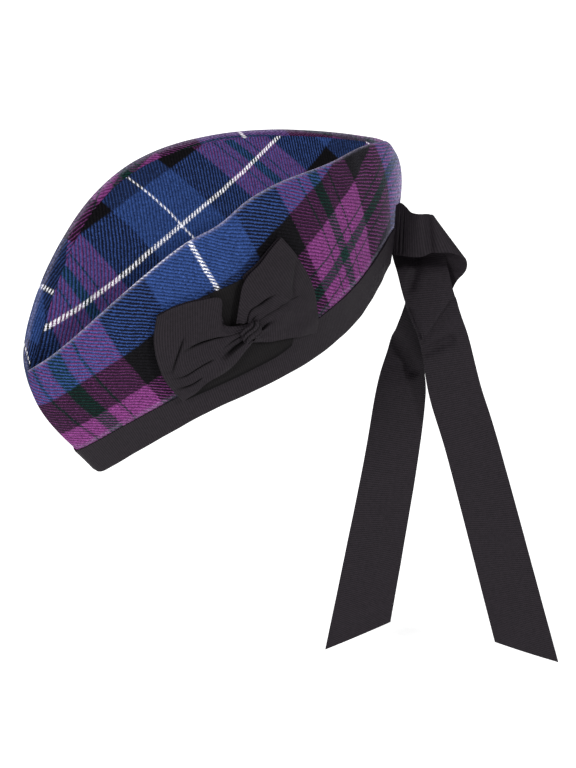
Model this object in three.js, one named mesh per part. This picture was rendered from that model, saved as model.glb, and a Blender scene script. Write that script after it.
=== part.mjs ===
// A glengarry: a boat-shaped tartan cap with a ribbon binding, a bow cockade on the
// wearer's left and two ribbon tails at the back, tipped forward as it is worn.
// Millimetres, +Z up, front towards -Y, wearer's left towards +X.
// The origin is the middle of the head opening.
import * as THREE from 'three';
import { mergeVertices } from 'three/addons/utils/BufferGeometryUtils.js';

// Cloth and ribbon
const CLOTH = 1.6; // wool wall
const RIBBON = 1.0; // binding, bow and tails
const GAP = 0.3; // clearance between neighbouring pieces
const PITCH = THREE.MathUtils.degToRad(25.2); // front-down tilt of the cap

// Head opening, in the cap's own frame before it is tilted
const RIM = {
  length: 243,
  halfWidth: 62,
  frontPoint: 1.96, // 1 is a rounded end, 2 is a pointed one
  backPoint: 2.37,
  endDrop: 15.1, // both ends hang lower than the sides
  sweep: 12.1, // rise of the front half, fall of the back half
};

// Fold line along the top of each side
const RIDGE = {
  length: 287,
  shift: 12.3, // set back over the rim
  halfWidth: 63.3,
  frontPoint: 1.27,
  backPoint: 1.89,
  frontHeight: 74.5,
  backHeight: 59.1,
  arch: 48.8, // extra height half-way along
  skew: -2.2,
};

const SEAM_BOW = { front: 6.3, back: 9.1, spread: 4 }; // the end seams belly out
const SIDE_BELLY = 3; // the sides belly out
const ROLL = { below: 5, above: 3, inside: 5.6, slope: 0.9 }; // the side rolls over the ridge
const VALLEY = { depth: 0.78, sharpness: 1.6, front: 0.015, back: 0.028 }; // dip per mm of half-width
const BAND_HEIGHT = 22.4;

// Grid sizes
const STEPS_ALONG = 40;
const STEPS_BAND = 2;
const STEPS_WALL = 5;
const STEPS_ROLL = 4;
const STEPS_VALLEY = 14;
const STEPS_LOOP = 10;
const STEPS_TAIL = 40;
const STEPS_RIBBON = 3;

// Bow, measured on the wall from its knot: "aft" towards the back, "up" towards the ridge
const BOW = { turn: 1.415, height: 0.356, aftScale: 132.5, upScale: 114.1 };
const BOW_BACKING = [
  { upAft: -45.5, up: 45, downAft: -53.5, down: -20, bulge: 8 },
  { upAft: -18, up: 37, downAft: -20, down: -23, bulge: 0 },
  { upAft: 11, up: 34.3, downAft: 10, down: -24.3, bulge: 0 },
  { upAft: 40, up: 41, downAft: 48, down: -25.7, bulge: -9 },
];
const LOOP_FRONT = [
  { upAft: -8, up: 6.5, downAft: -8, down: -6, lift: 4.6, bulge: 0 },
  { upAft: -9, up: 22.5, downAft: -16, down: -17, lift: 5, bulge: 1.5 },
  { upAft: -22, up: 34, downAft: -30, down: -19.5, lift: 4, bulge: 4 },
  { upAft: -36, up: 41, downAft: -44.5, down: -20, lift: 2.4, bulge: 6.5 },
  { upAft: -45.5, up: 45, downAft: -53.5, down: -20, lift: 0.6, bulge: 8 },
];
const LOOP_BACK = [
  { upAft: 8, up: 7, downAft: 8, down: -7, lift: 4.6, bulge: 0 },
  { upAft: 10.5, up: 27, downAft: 14, down: -15.5, lift: 5, bulge: -1.5 },
  { upAft: 19, up: 36.5, downAft: 27, down: -22, lift: 4, bulge: -4 },
  { upAft: 31, up: 39, downAft: 39, down: -25, lift: 2.4, bulge: -7 },
  { upAft: 40, up: 41, downAft: 48, down: -25.7, lift: 0.6, bulge: -9 },
];
const PLEAT = { count: 1.5, share: 0.3 }; // folds across a loop and their share of its lift
const KNOT = { halfLength: 7.5, halfWidth: 7.5, height: 8.5, squareness: 0.6 };

// Tails, in an upright plane at the back seam: "out" from the seam, z up, "near" out of the plane
const TAILS = { place: [0, 118, 70], turn: THREE.MathUtils.degToRad(58.6) };
const TAIL_LEFT = [
  { out1: 5.2, z1: 9, near1: 1.2, out2: 3.4, z2: -24, near2: 1.2 },
  { out1: 15, z1: 6.5, near1: 4, out2: 24, z2: -24.5, near2: 4 },
  { out1: 23, z1: 4, near1: 4, out2: 41.5, z2: -25.5, near2: 4 },
  { out1: 26, z1: 2.5, near1: 0, out2: 48.3, z2: -31, near2: 0 },
  { out1: 23, z1: -3, near1: -4, out2: 45.5, z2: -37, near2: -4 },
  { out1: 13.5, z1: -29, near1: -4.4, out2: 39.7, z2: -50, near2: -4.4 },
  { out1: 6.5, z1: -58, near1: -6, out2: 31, z2: -74, near2: -5 },
  { out1: -4.6, z1: -95, near1: -12, out2: 21.3, z2: -101, near2: -5 },
  { out1: -10.1, z1: -124, near1: -12, out2: 22.3, z2: -127, near2: -5 },
  { out1: -20, z1: -180, near1: -8, out2: 15.3, z2: -183.5, near2: -6 },
  { out1: -41.5, z1: -301.5, near1: -6, out2: 1, z2: -281.5, near2: -6 },
];
const TAIL_RIGHT = [
  { out1: 5.6, z1: -6, near1: 0.3, out2: 31, z2: -9, near2: 0.3 },
  { out1: 3.4, z1: -33.4, near1: 0.4, out2: 37, z2: -38, near2: 0.2 },
  { out1: 8.5, z1: -56.4, near1: 0.8, out2: 41.5, z2: -53, near2: 0.2 },
  { out1: 13.3, z1: -69, near1: 3, out2: 46.7, z2: -68.7, near2: 0 },
  { out1: 19.5, z1: -86, near1: 4, out2: 52.1, z2: -84.5, near2: -2 },
  { out1: 26.3, z1: -124, near1: 3, out2: 61.2, z2: -119, near2: -3 },
  { out1: 42, z1: -173, near1: 1, out2: 77, z2: -165, near2: -1 },
  { out1: 75.5, z1: -297.7, near1: 0, out2: 116, z2: -311.7, near2: 0 },
];

const FINISH = {
  tartan: { color: 0x33305c, roughness: 0.95, metalness: 0 },
  ribbon: { color: 0x2b292b, roughness: 0.75, metalness: 0 },
};

// Weighted mix of a front and a back value at a turn around the cap
function frontToBack(front, back, turn) {
  return (front * (1 + Math.cos(turn)) + back * (1 - Math.cos(turn))) / 2;
}

// Turn at an even share of the length of one side; the right side starts half a turn on
function turnAt(share, side) {
  return Math.acos(1 - 2 * share) + (side > 0 ? 0 : Math.PI);
}

// Half-width of a boat shape at a turn; the far half turn is the other side
function boatWidth(shape, turn) {
  const across = Math.sin(turn);
  const point = frontToBack(shape.frontPoint, shape.backPoint, turn);
  return shape.halfWidth * Math.sign(across) * Math.abs(across) ** point;
}

function rimPoint(turn) {
  const along = Math.cos(turn);
  const side = Math.sin(turn) ** 2;
  const z = -RIM.endDrop * along ** 2 + RIM.sweep * along * side;
  return new THREE.Vector3(boatWidth(RIM, turn), (-RIM.length / 2) * along, z);
}

function ridgePoint(turn) {
  const along = Math.cos(turn);
  const side = Math.sin(turn) ** 2;
  const ends = frontToBack(RIDGE.frontHeight, RIDGE.backHeight, turn);
  const z = ends + (RIDGE.arch + RIDGE.skew * along) * side;
  return new THREE.Vector3(boatWidth(RIDGE, turn), RIDGE.shift - (RIDGE.length / 2) * along, z);
}

// Face of a side wall: height 0 is the rim and 1 the ridge
function wallPoint(turn, height) {
  const along = Math.cos(turn);
  const belly = 4 * height * (1 - height);
  const front = ((1 + along) / 2) ** SEAM_BOW.spread;
  const back = ((1 - along) / 2) ** SEAM_BOW.spread;
  const point = rimPoint(turn).lerp(ridgePoint(turn), height);
  point.x += SIDE_BELLY * belly * Math.sin(turn) * Math.abs(Math.sin(turn));
  point.y += belly * (SEAM_BOW.back * back - SEAM_BOW.front * front);
  return point;
}

// Upward direction, outward normal and height of the wall at a place
function wallFrame(turn, height) {
  const step = Math.PI / STEPS_ALONG;
  const rise = 0.05;
  const aft = wallPoint(turn + step, height).sub(wallPoint(turn - step, height)).normalize();
  const up = wallPoint(turn, height + rise).sub(wallPoint(turn, height - rise)).normalize();
  const out = new THREE.Vector3().crossVectors(aft, up).normalize();
  const span = rimPoint(turn).distanceTo(ridgePoint(turn));
  return { up, out, span };
}

// Where the side's rolled edge ends inside the ridge, and the roll's guide points
function rollGuides(turn) {
  const ridge = ridgePoint(turn);
  const { up, span } = wallFrame(turn, 1);
  const inside = Math.min(ROLL.inside, Math.abs(ridge.x));
  const inward = new THREE.Vector3(-Math.sign(ridge.x), 0, -ROLL.slope);
  return {
    foot: wallPoint(turn, 1 - ROLL.below / span),
    crest: ridge.clone().addScaledVector(up, ROLL.above),
    seam: ridge.clone().addScaledVector(inward, inside),
  };
}

// Section of a side's face at a turn: behind the band, up the wall, over the ridge to the crown seam
function sideSection(turn) {
  const { span } = wallFrame(turn, 0);
  const { foot, crest, seam } = rollGuides(turn);
  const bandTop = BAND_HEIGHT / span;
  const wallTop = 1 - ROLL.below / span;
  const section = [];
  for (let i = 0; i < STEPS_BAND; i += 1) {
    section.push(wallPoint(turn, (bandTop * i) / STEPS_BAND));
  }
  for (let i = 0; i < STEPS_WALL; i += 1) {
    section.push(wallPoint(turn, THREE.MathUtils.lerp(bandTop, wallTop, i / STEPS_WALL)));
  }
  return [...section, ...new THREE.QuadraticBezierCurve3(foot, crest, seam).getPoints(STEPS_ROLL)];
}

// Crown face between the two seams: across runs from the right seam (0) to the left (1)
function crownFace(turn, across) {
  const { seam } = rollGuides(turn);
  const half = seam.x - 2 * GAP;
  const place = 2 * across - 1;
  const dip = VALLEY.depth * half * (1 - Math.abs(place) ** VALLEY.sharpness);
  return new THREE.Vector3(half * place, seam.y, seam.z - dip);
}

// Indexed geometry from points and triangles
function meshFrom(points, triangles) {
  const geometry = new THREE.BufferGeometry().setFromPoints(points);
  geometry.setIndex(triangles.flat());
  return geometry;
}

// Normals of a grid of points, one for each point
function gridNormals(grid) {
  const columns = grid.length - 1;
  const rows = grid[0].length - 1;
  const normalAt = (i, j) => {
    const along = grid[Math.min(i + 1, columns)][j].clone().sub(grid[Math.max(i - 1, 0)][j]);
    const over = grid[i][Math.min(j + 1, rows)].clone().sub(grid[i][Math.max(j - 1, 0)]);
    return along.cross(over).normalize();
  };
  return grid.map((column, i) => column.map((_, j) => normalAt(i, j)));
}

// A closed sheet: the grid is its face, and the back lies one thickness behind it
function sheetGeometry(grid, thickness, keep = (point) => point) {
  const columns = grid.length;
  const rows = grid[0].length;
  const normals = gridNormals(grid);
  const face = grid.map((column) => column.map((point) => keep(point.clone())));
  const back = grid.map((column, i) =>
    column.map((point, j) => keep(point.clone().addScaledVector(normals[i][j], -thickness))),
  );
  const points = [...face.flat(), ...back.flat()];
  const front = (i, j) => i * rows + j;
  const behind = (i, j) => columns * rows + i * rows + j;
  const triangles = [];
  const quad = (a, b, c, d) => triangles.push([a, b, c], [a, c, d]);
  for (let i = 0; i < columns - 1; i += 1) {
    for (let j = 0; j < rows - 1; j += 1) {
      quad(front(i, j), front(i + 1, j), front(i + 1, j + 1), front(i, j + 1));
      quad(behind(i, j), behind(i, j + 1), behind(i + 1, j + 1), behind(i + 1, j));
    }
    quad(front(i, 0), behind(i, 0), behind(i + 1, 0), front(i + 1, 0));
    quad(front(i, rows - 1), front(i + 1, rows - 1), behind(i + 1, rows - 1), behind(i, rows - 1));
  }
  for (let j = 0; j < rows - 1; j += 1) {
    quad(front(0, j), front(0, j + 1), behind(0, j + 1), behind(0, j));
    quad(front(columns - 1, j), behind(columns - 1, j), behind(columns - 1, j + 1), front(columns - 1, j + 1));
  }
  return meshFrom(points, triangles);
}

// Grid of face(u, v) with u and v from 0 to 1
function gridOf(face, columns, rows) {
  return Array.from({ length: columns + 1 }, (_, i) =>
    Array.from({ length: rows + 1 }, (__, j) => face(i / columns, j / rows)),
  );
}

// One side of the cap; side is 1 for the left and -1 for the right
function sideGeometry(side) {
  const turns = Array.from({ length: STEPS_ALONG + 1 }, (_, i) => turnAt(i / STEPS_ALONG, side));
  const grid = turns.map(sideSection);
  const keep = (point) => point.setX(side * Math.max(side * point.x, GAP / 2));
  return sheetGeometry(grid, CLOTH, keep);
}

function crownGeometry() {
  const turn = (share) => turnAt(THREE.MathUtils.lerp(VALLEY.front, 1 - VALLEY.back, share), 1);
  const grid = gridOf((u, v) => crownFace(turn(u), 1 - v), STEPS_ALONG, STEPS_VALLEY);
  return sheetGeometry(grid, CLOTH);
}

// Binding ribbon folded over the rim, one closed ring with a U section
function bandGeometry() {
  const turns = 2 * STEPS_ALONG;
  const outside = GAP + RIBBON;
  const inside = CLOTH + GAP;
  const floor = 2 * GAP;
  const leaf = (offset, down) =>
    Array.from({ length: STEPS_BAND + 1 }, (_, i) => ({
      up: 1 - i / STEPS_BAND,
      out: offset,
      down: i === STEPS_BAND ? down : 0,
    }));
  const section = [
    ...leaf(outside, 0),
    { up: 0, out: -CLOTH / 2, down: floor + RIBBON },
    ...leaf(-inside - RIBBON, 0).reverse(),
    ...leaf(-inside, floor),
    ...leaf(GAP, floor).reverse(),
  ];
  const points = [];
  const triangles = [];
  for (let i = 0; i < turns; i += 1) {
    const turn = turnAt((i % STEPS_ALONG) / STEPS_ALONG, i < STEPS_ALONG ? 1 : -1);
    for (const { up: share, out: offset, down } of section) {
      const height = (share * BAND_HEIGHT) / wallFrame(turn, 0).span;
      const { up, out } = wallFrame(turn, height);
      points.push(wallPoint(turn, height).addScaledVector(out, offset).addScaledVector(up, -down));
    }
    for (let j = 0; j < section.length; j += 1) {
      const a = i * section.length + j;
      const b = i * section.length + ((j + 1) % section.length);
      const c = ((i + 1) % turns) * section.length + ((j + 1) % section.length);
      const d = ((i + 1) % turns) * section.length + j;
      triangles.push([a, b, c], [a, c, d]);
    }
  }
  return meshFrom(points, triangles);
}

// A point on the left wall, by its distance from the bow's knot and its height off the cloth
function onWall(aft, up, off) {
  const turn = BOW.turn + aft / BOW.aftScale;
  const height = BOW.height + up / BOW.upScale;
  const { out, span } = wallFrame(turn, height);
  const overBand = 1 - THREE.MathUtils.smoothstep(height * span, BAND_HEIGHT + 1, BAND_HEIGHT + 12);
  const stand = GAP + overBand * (RIBBON + 2 * GAP);
  return wallPoint(turn, height).addScaledVector(out, stand + off);
}

// Smooth value of one column of a table, at a share of its length
function column(table, name, share) {
  const curve = new THREE.CatmullRomCurve3(table.map((row) => new THREE.Vector3(row[name], 0, 0)));
  return curve.getPoint(share).x;
}

// Bow sheet from a table of sections, lifted off the wall
function bowGrid(table, liftAt) {
  return gridOf(
    (u, v) => {
      const bulge = column(table, 'bulge', u) * 4 * v * (1 - v);
      const aft = THREE.MathUtils.lerp(column(table, 'upAft', u), column(table, 'downAft', u), v) - bulge;
      const up = THREE.MathUtils.lerp(column(table, 'up', u), column(table, 'down', u), v);
      return onWall(aft, up, liftAt(u, v));
    },
    STEPS_LOOP,
    STEPS_LOOP,
  );
}

function backingGeometry() {
  const grid = bowGrid(BOW_BACKING, () => RIBBON).map((row) => row.reverse());
  return sheetGeometry(grid, RIBBON);
}

// A loop of the bow, pleated towards the knot
function loopGeometry(table, towardsBack) {
  const bottom = RIBBON + GAP;
  const lift = (u, v) => {
    const pleat = 1 - PLEAT.share * (1 - Math.cos(2 * Math.PI * PLEAT.count * v)) / 2;
    return bottom + RIBBON + column(table, 'lift', u) * pleat;
  };
  const grid = bowGrid(table, lift);
  const facing = towardsBack ? grid.map((row) => row.reverse()) : grid;
  return sheetGeometry(facing, RIBBON);
}

// The knot: a squarish pad that wraps the pinched middle of the bow
function knotGeometry() {
  const ball = new THREE.SphereGeometry(1, 16, 8);
  ball.deleteAttribute('normal');
  ball.deleteAttribute('uv');
  const pad = mergeVertices(ball);
  const corners = pad.getAttribute('position');
  const square = (value) => Math.sign(value) * Math.abs(value) ** KNOT.squareness;
  for (let i = 0; i < corners.count; i += 1) {
    const aft = KNOT.halfLength * square(corners.getX(i));
    const up = KNOT.halfWidth * square(corners.getY(i));
    const off = RIBBON + GAP + (KNOT.height / 2) * (1 + square(corners.getZ(i)));
    corners.setXYZ(i, ...onWall(aft, up, off).toArray());
  }
  return pad;
}

// A ribbon tail ruled between its two edges
function tailGeometry(table) {
  const edge = (name) =>
    new THREE.CatmullRomCurve3(
      table.map((row) => new THREE.Vector3(row[`out${name}`], -row[`near${name}`], row[`z${name}`])),
    );
  const first = edge(1);
  const second = edge(2);
  const grid = gridOf((u, v) => first.getPoint(u).lerp(second.getPoint(u), v), STEPS_TAIL, STEPS_RIBBON);
  return sheetGeometry(grid, RIBBON);
}

function node(name, geometry, finish) {
  const mesh = new THREE.Mesh(geometry, new THREE.MeshStandardMaterial(finish));
  mesh.name = name;
  return mesh;
}

const cap = new THREE.Group();
cap.rotation.x = PITCH;
cap.add(node('side_left', sideGeometry(1), FINISH.tartan));
cap.add(node('side_right', sideGeometry(-1), FINISH.tartan));
cap.add(node('crown_top', crownGeometry(), FINISH.tartan));
cap.add(node('band', bandGeometry(), FINISH.ribbon));
cap.add(node('bow_backing', backingGeometry(), FINISH.ribbon));
cap.add(node('bow_loop_front', loopGeometry(LOOP_FRONT, false), FINISH.ribbon));
cap.add(node('bow_loop_back', loopGeometry(LOOP_BACK, true), FINISH.ribbon));
cap.add(node('bow_knot', knotGeometry(), FINISH.ribbon));

const tails = new THREE.Group();
tails.position.set(...TAILS.place);
tails.rotation.z = TAILS.turn;
tails.add(node('tail_left', tailGeometry(TAIL_LEFT), FINISH.ribbon));
tails.add(node('tail_right', tailGeometry(TAIL_RIGHT), FINISH.ribbon));

const glengarry = new THREE.Group();
glengarry.add(cap, tails);

export default glengarry;
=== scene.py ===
"""Dresses a tartan glengarry: a wool cap with a ribbon binding, a bow cockade and two ribbon tails.

Everything is worked out in millimetres in the cap's own frame, tilted front-down as the cap is worn,
and stored in metres: +Z is up, the front of the cap is towards -Y and the wearer's left towards +X.
"""

import logging
import math
from dataclasses import dataclass, replace
from enum import Enum
from typing import Any, Mapping, Optional, Sequence

import bpy
import numpy as np
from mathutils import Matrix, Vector


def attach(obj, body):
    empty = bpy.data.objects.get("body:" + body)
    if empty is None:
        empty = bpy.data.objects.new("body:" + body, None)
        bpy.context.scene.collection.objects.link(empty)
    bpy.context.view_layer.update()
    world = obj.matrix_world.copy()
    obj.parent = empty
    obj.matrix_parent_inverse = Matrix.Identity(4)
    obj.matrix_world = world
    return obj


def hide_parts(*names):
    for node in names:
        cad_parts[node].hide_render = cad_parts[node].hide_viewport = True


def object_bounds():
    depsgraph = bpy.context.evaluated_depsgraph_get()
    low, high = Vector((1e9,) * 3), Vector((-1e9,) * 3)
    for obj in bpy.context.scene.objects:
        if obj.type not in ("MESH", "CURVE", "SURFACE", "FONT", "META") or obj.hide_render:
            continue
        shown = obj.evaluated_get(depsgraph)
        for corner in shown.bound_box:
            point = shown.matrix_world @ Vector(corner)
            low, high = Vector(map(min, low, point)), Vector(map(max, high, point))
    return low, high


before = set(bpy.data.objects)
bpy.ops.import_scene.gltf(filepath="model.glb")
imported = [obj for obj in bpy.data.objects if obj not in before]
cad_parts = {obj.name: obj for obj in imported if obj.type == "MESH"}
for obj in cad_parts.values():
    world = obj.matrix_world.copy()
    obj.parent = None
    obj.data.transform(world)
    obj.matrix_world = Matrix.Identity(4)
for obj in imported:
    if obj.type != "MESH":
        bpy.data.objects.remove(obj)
CAD_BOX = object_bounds()

LOG = logging.getLogger("glengarry")
MM = 0.001
WEAVE_MAP = "weave"
WEAR_AND_HIGHLIGHT = "wear_and_highlight"
PAINTED_CREASE_SHADE = "painted_crease_shade"
SHARP_EDGE = math.radians(50)
# Noise keeps to about a quarter each side of its middle, so this brings it to the full reach.
NOISE_SPAN = 4.0
# A 2/2 twill repeats every four yarns and lies over the first two of them.
TWILL_REPEAT = 4.0
TWILL_OVER = 1.5
# A flat strip is levelled over a tenth of its length each side of its middle.
LEVEL_PART = 10

MATH = "ShaderNodeMath"
NOISE = "ShaderNodeTexNoise"
MIX = "ShaderNodeMix"
MULTIPLY = {"operation": "MULTIPLY"}
MULTIPLY_ADD = {"operation": "MULTIPLY_ADD"}
SINE = {"operation": "SINE"}

Grid = np.ndarray
Tree = bpy.types.NodeTree
Socket = bpy.types.NodeSocket
Material = bpy.types.Material
Mesh = bpy.types.Mesh
Piece = bpy.types.Object


class Side(Enum):
    """Which side of the cap a wall panel is on, as the wearer has it."""

    LEFT = 1
    RIGHT = -1


class Thread(Enum):
    """Dyed yarns of the tartan, as sRGB hex."""

    WHITE = "#f4f4fb"
    BLUE = "#2a4175"
    BLACK = "#0c0b0e"
    PURPLE = "#753670"
    GREEN = "#0b2b26"


class Slot(Enum):
    """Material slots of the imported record."""

    TARTAN = "tartan"
    RIBBON = "ribbon"


def linear(hex_colour: str) -> tuple[float, float, float, float]:
    """Turn an sRGB hex colour to linear light.

    Args:
        hex_colour: Colour as "#rrggbb".

    Returns:
        Linear red, green and blue, and an alpha of 1.
    """
    parts = [int(hex_colour[i : i + 2], 16) / 255 for i in (1, 3, 5)]
    low = [c / 12.92 if c <= 0.04045 else ((c + 0.055) / 1.055) ** 2.4 for c in parts]
    return (low[0], low[1], low[2], 1.0)


def add_node(
    tree: Tree,
    kind: str,
    settings: Optional[Mapping[str, Any]] = None,
    values: Optional[Mapping[Any, Any]] = None,
    links: Optional[Mapping[Any, Socket]] = None,
) -> bpy.types.Node:
    """Add a node with its settings, socket values and incoming links.

    Args:
        tree: Node tree that gets the node.
        kind: Blender's type name of the node.
        settings: Properties of the node.
        values: Input sockets to set, by name or index.
        links: Input sockets to link, by name or index, each with its source socket.

    Returns:
        The new node.
    """
    node = tree.nodes.new(kind)
    for name, value in (settings or {}).items():
        setattr(node, name, value)
    for name, value in (values or {}).items():
        node.inputs[name].default_value = value
    for name, source in (links or {}).items():
        tree.links.new(source, node.inputs[name])
    return node


def new_material(name: str) -> Material:
    """Make an empty node material.

    Args:
        name: Name of the material.

    Returns:
        The material, with no nodes in its tree.
    """
    material = bpy.data.materials.new(name)
    material.use_nodes = True
    material.node_tree.nodes.clear()
    return material


@dataclass(frozen=True)
class Stripe:
    """One stripe of the sett, counted from the white line outwards."""

    thread: Thread
    width: float


@dataclass(frozen=True)
class Twill:
    """Sockets of a twill: whether the lengthways yarn lies over, how high it stands, and the slant."""

    over: Socket
    height: Socket
    slant: Socket


@dataclass(frozen=True)
class TartanWool:
    """Worsted wool in a 2/2 twill: matt, with steep twill lines and a soft nap that catches side light."""

    # Both pitches are a little coarser than real worsted, so that the twill lines show.
    warp_pitch: float = 0.7
    weft_pitch: float = 0.75
    sett_along: tuple[Stripe, ...] = (
        Stripe(Thread.WHITE, 1.3),
        Stripe(Thread.BLUE, 33.25),
        Stripe(Thread.BLACK, 33.8),
        Stripe(Thread.PURPLE, 17.4),
        Stripe(Thread.GREEN, 1.2),
        Stripe(Thread.PURPLE, 7.2),
        Stripe(Thread.GREEN, 4.2),
    )
    sett_across: tuple[Stripe, ...] = (
        Stripe(Thread.WHITE, 1.0),
        Stripe(Thread.BLUE, 36.4),
        Stripe(Thread.BLACK, 28.0),
        Stripe(Thread.PURPLE, 18.8),
        Stripe(Thread.GREEN, 1.4),
        Stripe(Thread.PURPLE, 7.6),
        Stripe(Thread.GREEN, 4.6),
    )
    bleed: float = 1.3
    drift_size: float = 14.0
    drift: float = 0.4
    fuzz_size: float = 1.2
    fuzz: float = 0.36
    line_start: float = 0.75 * math.pi
    line_pull: float = -0.5
    dark: float = 0.97
    even: float = 0.77
    tight: float = 0.0
    full: float = 0.65
    mingle: float = 0.1
    edge_from: float = 0.25
    edge_to: float = 0.75
    wale: float = 0.42
    wale_lag: float = -0.3 * math.pi
    yarn_round: float = 0.5
    yarn_floor: float = 0.62
    nap_size: float = 1.2
    nap_depth: float = 2.9
    # Pale colour of a mark that is partly worn nap and partly a painted highlight on the crest, back seam and
    # binding edge.
    pale_mark_colour: str = "#b9b3cf"
    pale_mark_gain: float = 1.3
    speckle_gain: float = 2.4
    speckle_floor: float = -0.7
    fibre_rise: float = 0.35
    bump: float = 0.6
    relief: float = 0.25
    roughness: float = 0.92
    specular: float = 0.08
    sheen: float = 0.14
    sheen_roughness: float = 0.3
    sheen_tint: str = "#d8d2ea"
    name: str = "worsted_wool_tartan"

    def material(self) -> Material:
        """Build the tartan from two crossing setts and a twill.

        Returns:
            The wool's material, which reads the weave map in millimetres.
        """
        material = new_material(self.name)
        tree = material.node_tree
        place = add_node(tree, "ShaderNodeTexCoord").outputs["Object"]
        axes = add_node(tree, "ShaderNodeSeparateXYZ", links={0: self._laid(tree, place)})
        along, across = axes.outputs["X"], axes.outputs["Y"]
        colours = [
            self._sett_colour(tree, axis, sett)
            for axis, sett in ((along, self.sett_along), (across, self.sett_across))
        ]
        twill = self._twill(tree, along, across)
        nap = add_node(
            tree,
            NOISE,
            values={"Scale": 1 / (self.nap_size * MM), "Detail": 3.0, "Roughness": 0.7},
            links={"Vector": place},
        ).outputs["Fac"]
        coloured = self._shaded(tree, self._yarn(tree, colours, twill), twill, nap)
        raised = add_node(tree, MATH, MULTIPLY_ADD, {1: self.fibre_rise}, {0: nap, 2: twill.height})
        bump = add_node(
            tree,
            "ShaderNodeBump",
            values={"Strength": self.bump, "Distance": self.relief * MM},
            links={"Height": raised.outputs[0]},
        )
        shader = add_node(
            tree,
            "ShaderNodeBsdfPrincipled",
            values={
                "Roughness": self.roughness,
                "Specular IOR Level": self.specular,
                "Sheen Weight": self.sheen,
                "Sheen Roughness": self.sheen_roughness,
                "Sheen Tint": linear(self.sheen_tint),
            },
            links={"Base Color": self._marked_pale(tree, coloured, nap), "Normal": bump.outputs[0]},
        )
        add_node(tree, "ShaderNodeOutputMaterial", links={"Surface": shader.outputs[0]})
        return material

    def _laid(self, tree: Tree, place: Socket) -> Socket:
        """Lay the weave with yarns that wander and fibres that stand off, so that no line is ruler-straight.

        Args:
            tree: Node tree of the material.
            place: Object coordinates.

        Returns:
            Socket with the place in the weave, in millimetres.
        """
        laid = add_node(tree, "ShaderNodeUVMap", {"uv_map": WEAVE_MAP}).outputs["UV"]
        for size, reach in ((self.drift_size, self.drift), (self.fuzz_size, self.fuzz)):
            wander = add_node(
                tree, NOISE, values={"Scale": 1 / (size * MM), "Detail": 3.0}, links={"Vector": place}
            )
            centred = add_node(
                tree,
                "ShaderNodeVectorMath",
                {"operation": "SUBTRACT"},
                {1: (0.5, 0.5, 0.5)},
                {0: wander.outputs["Color"]},
            )
            drifted = add_node(
                tree,
                "ShaderNodeVectorMath",
                MULTIPLY_ADD,
                {1: (NOISE_SPAN * reach, NOISE_SPAN * reach, 0)},
                {0: centred.outputs[0], 2: laid},
            )
            laid = drifted.outputs[0]
        return laid

    def _twill(self, tree: Tree, along: Socket, across: Socket) -> Twill:
        """Cross the yarns over two and under two, one yarn further in each row.

        Args:
            tree: Node tree of the material.
            along: Place along the cloth, in millimetres.
            across: Place across it.

        Returns:
            The twill's sockets.
        """
        scales: list[Socket] = []
        counts: list[Socket] = []
        shares: list[Socket] = []
        for axis, pitch in ((along, self.warp_pitch), (across, self.weft_pitch)):
            scaled = add_node(tree, MATH, {"operation": "DIVIDE"}, {1: pitch}, {0: axis})
            scales.append(scaled.outputs[0])
            for operation, found in (("FLOOR", counts), ("FRACT", shares)):
                part = add_node(tree, MATH, {"operation": operation}, links={0: scaled.outputs[0]})
                found.append(part.outputs[0])
        steps = add_node(tree, MATH, links={0: counts[0], 1: counts[1]})
        phase = add_node(
            tree, MATH, {"operation": "FLOORED_MODULO"}, {1: TWILL_REPEAT}, {0: steps.outputs[0]}
        )
        over = add_node(tree, MATH, {"operation": "LESS_THAN"}, {1: TWILL_OVER}, {0: phase.outputs[0]})
        upper = self._float(tree, phase.outputs[0], shares[0], shares[1])
        lower = self._float(tree, phase.outputs[0], shares[1], shares[0])
        height = add_node(
            tree, MIX, {"data_type": "FLOAT"}, links={"Factor": over.outputs[0], "A": lower, "B": upper}
        )
        # The slanting lines carry painted light and shade, so they show even where both yarns have one
        # colour; they crest on the crossing yarn.
        both = add_node(tree, MATH, links={0: scales[0], 1: scales[1]})
        slant = add_node(
            tree,
            MATH,
            MULTIPLY_ADD,
            {1: 2 * math.pi / TWILL_REPEAT, 2: self.line_start},
            {0: both.outputs[0]},
        )
        return Twill(over.outputs[0], height.outputs[0], slant.outputs[0])

    def _float(self, tree: Tree, phase: Socket, beside: Socket, onward: Socket) -> Socket:
        """Shape a yarn where it floats over two others: round across, and arched along its float.

        Args:
            tree: Node tree of the material.
            phase: Count of yarns in the twill's repeat.
            beside: Share of the pitch across the yarn.
            onward: Share of the pitch along it.

        Returns:
            Socket with the yarn's height, from 0 to 1.
        """
        round_angle = add_node(tree, MATH, MULTIPLY, {1: math.pi}, {0: beside})
        roundness = add_node(tree, MATH, SINE, links={0: round_angle.outputs[0]})
        run = add_node(tree, MATH, links={0: phase, 1: onward})
        run_angle = add_node(tree, MATH, MULTIPLY, {1: math.pi / 2}, {0: run.outputs[0]})
        wave = add_node(tree, MATH, SINE, links={0: run_angle.outputs[0]})
        arch = add_node(tree, MATH, {"operation": "ABSOLUTE"}, links={0: wave.outputs[0]})
        risen = add_node(tree, MATH, MULTIPLY, links={0: roundness.outputs[0], 1: arch.outputs[0]})
        return risen.outputs[0]

    def _yarn(self, tree: Tree, colours: Sequence[Socket], twill: Twill) -> Socket:
        """Choose which yarn's colour shows.

        Args:
            tree: Node tree of the material.
            colours: Colours of the lengthways and the crossing yarn.
            twill: How they cross.

        Returns:
            Socket with the colour.
        """
        line = add_node(tree, MATH, SINE, links={0: twill.slant})
        spreads = [self._spread(tree, colour) for colour in colours]
        wider = add_node(tree, MATH, {"operation": "SUBTRACT"}, links={0: spreads[0], 1: spreads[1]})
        upper = add_node(tree, MATH, MULTIPLY_ADD, {1: self.line_pull}, {0: line.outputs[0], 2: twill.over})
        swollen = add_node(tree, MATH, links={0: upper.outputs[0], 1: wider.outputs[0]})
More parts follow.
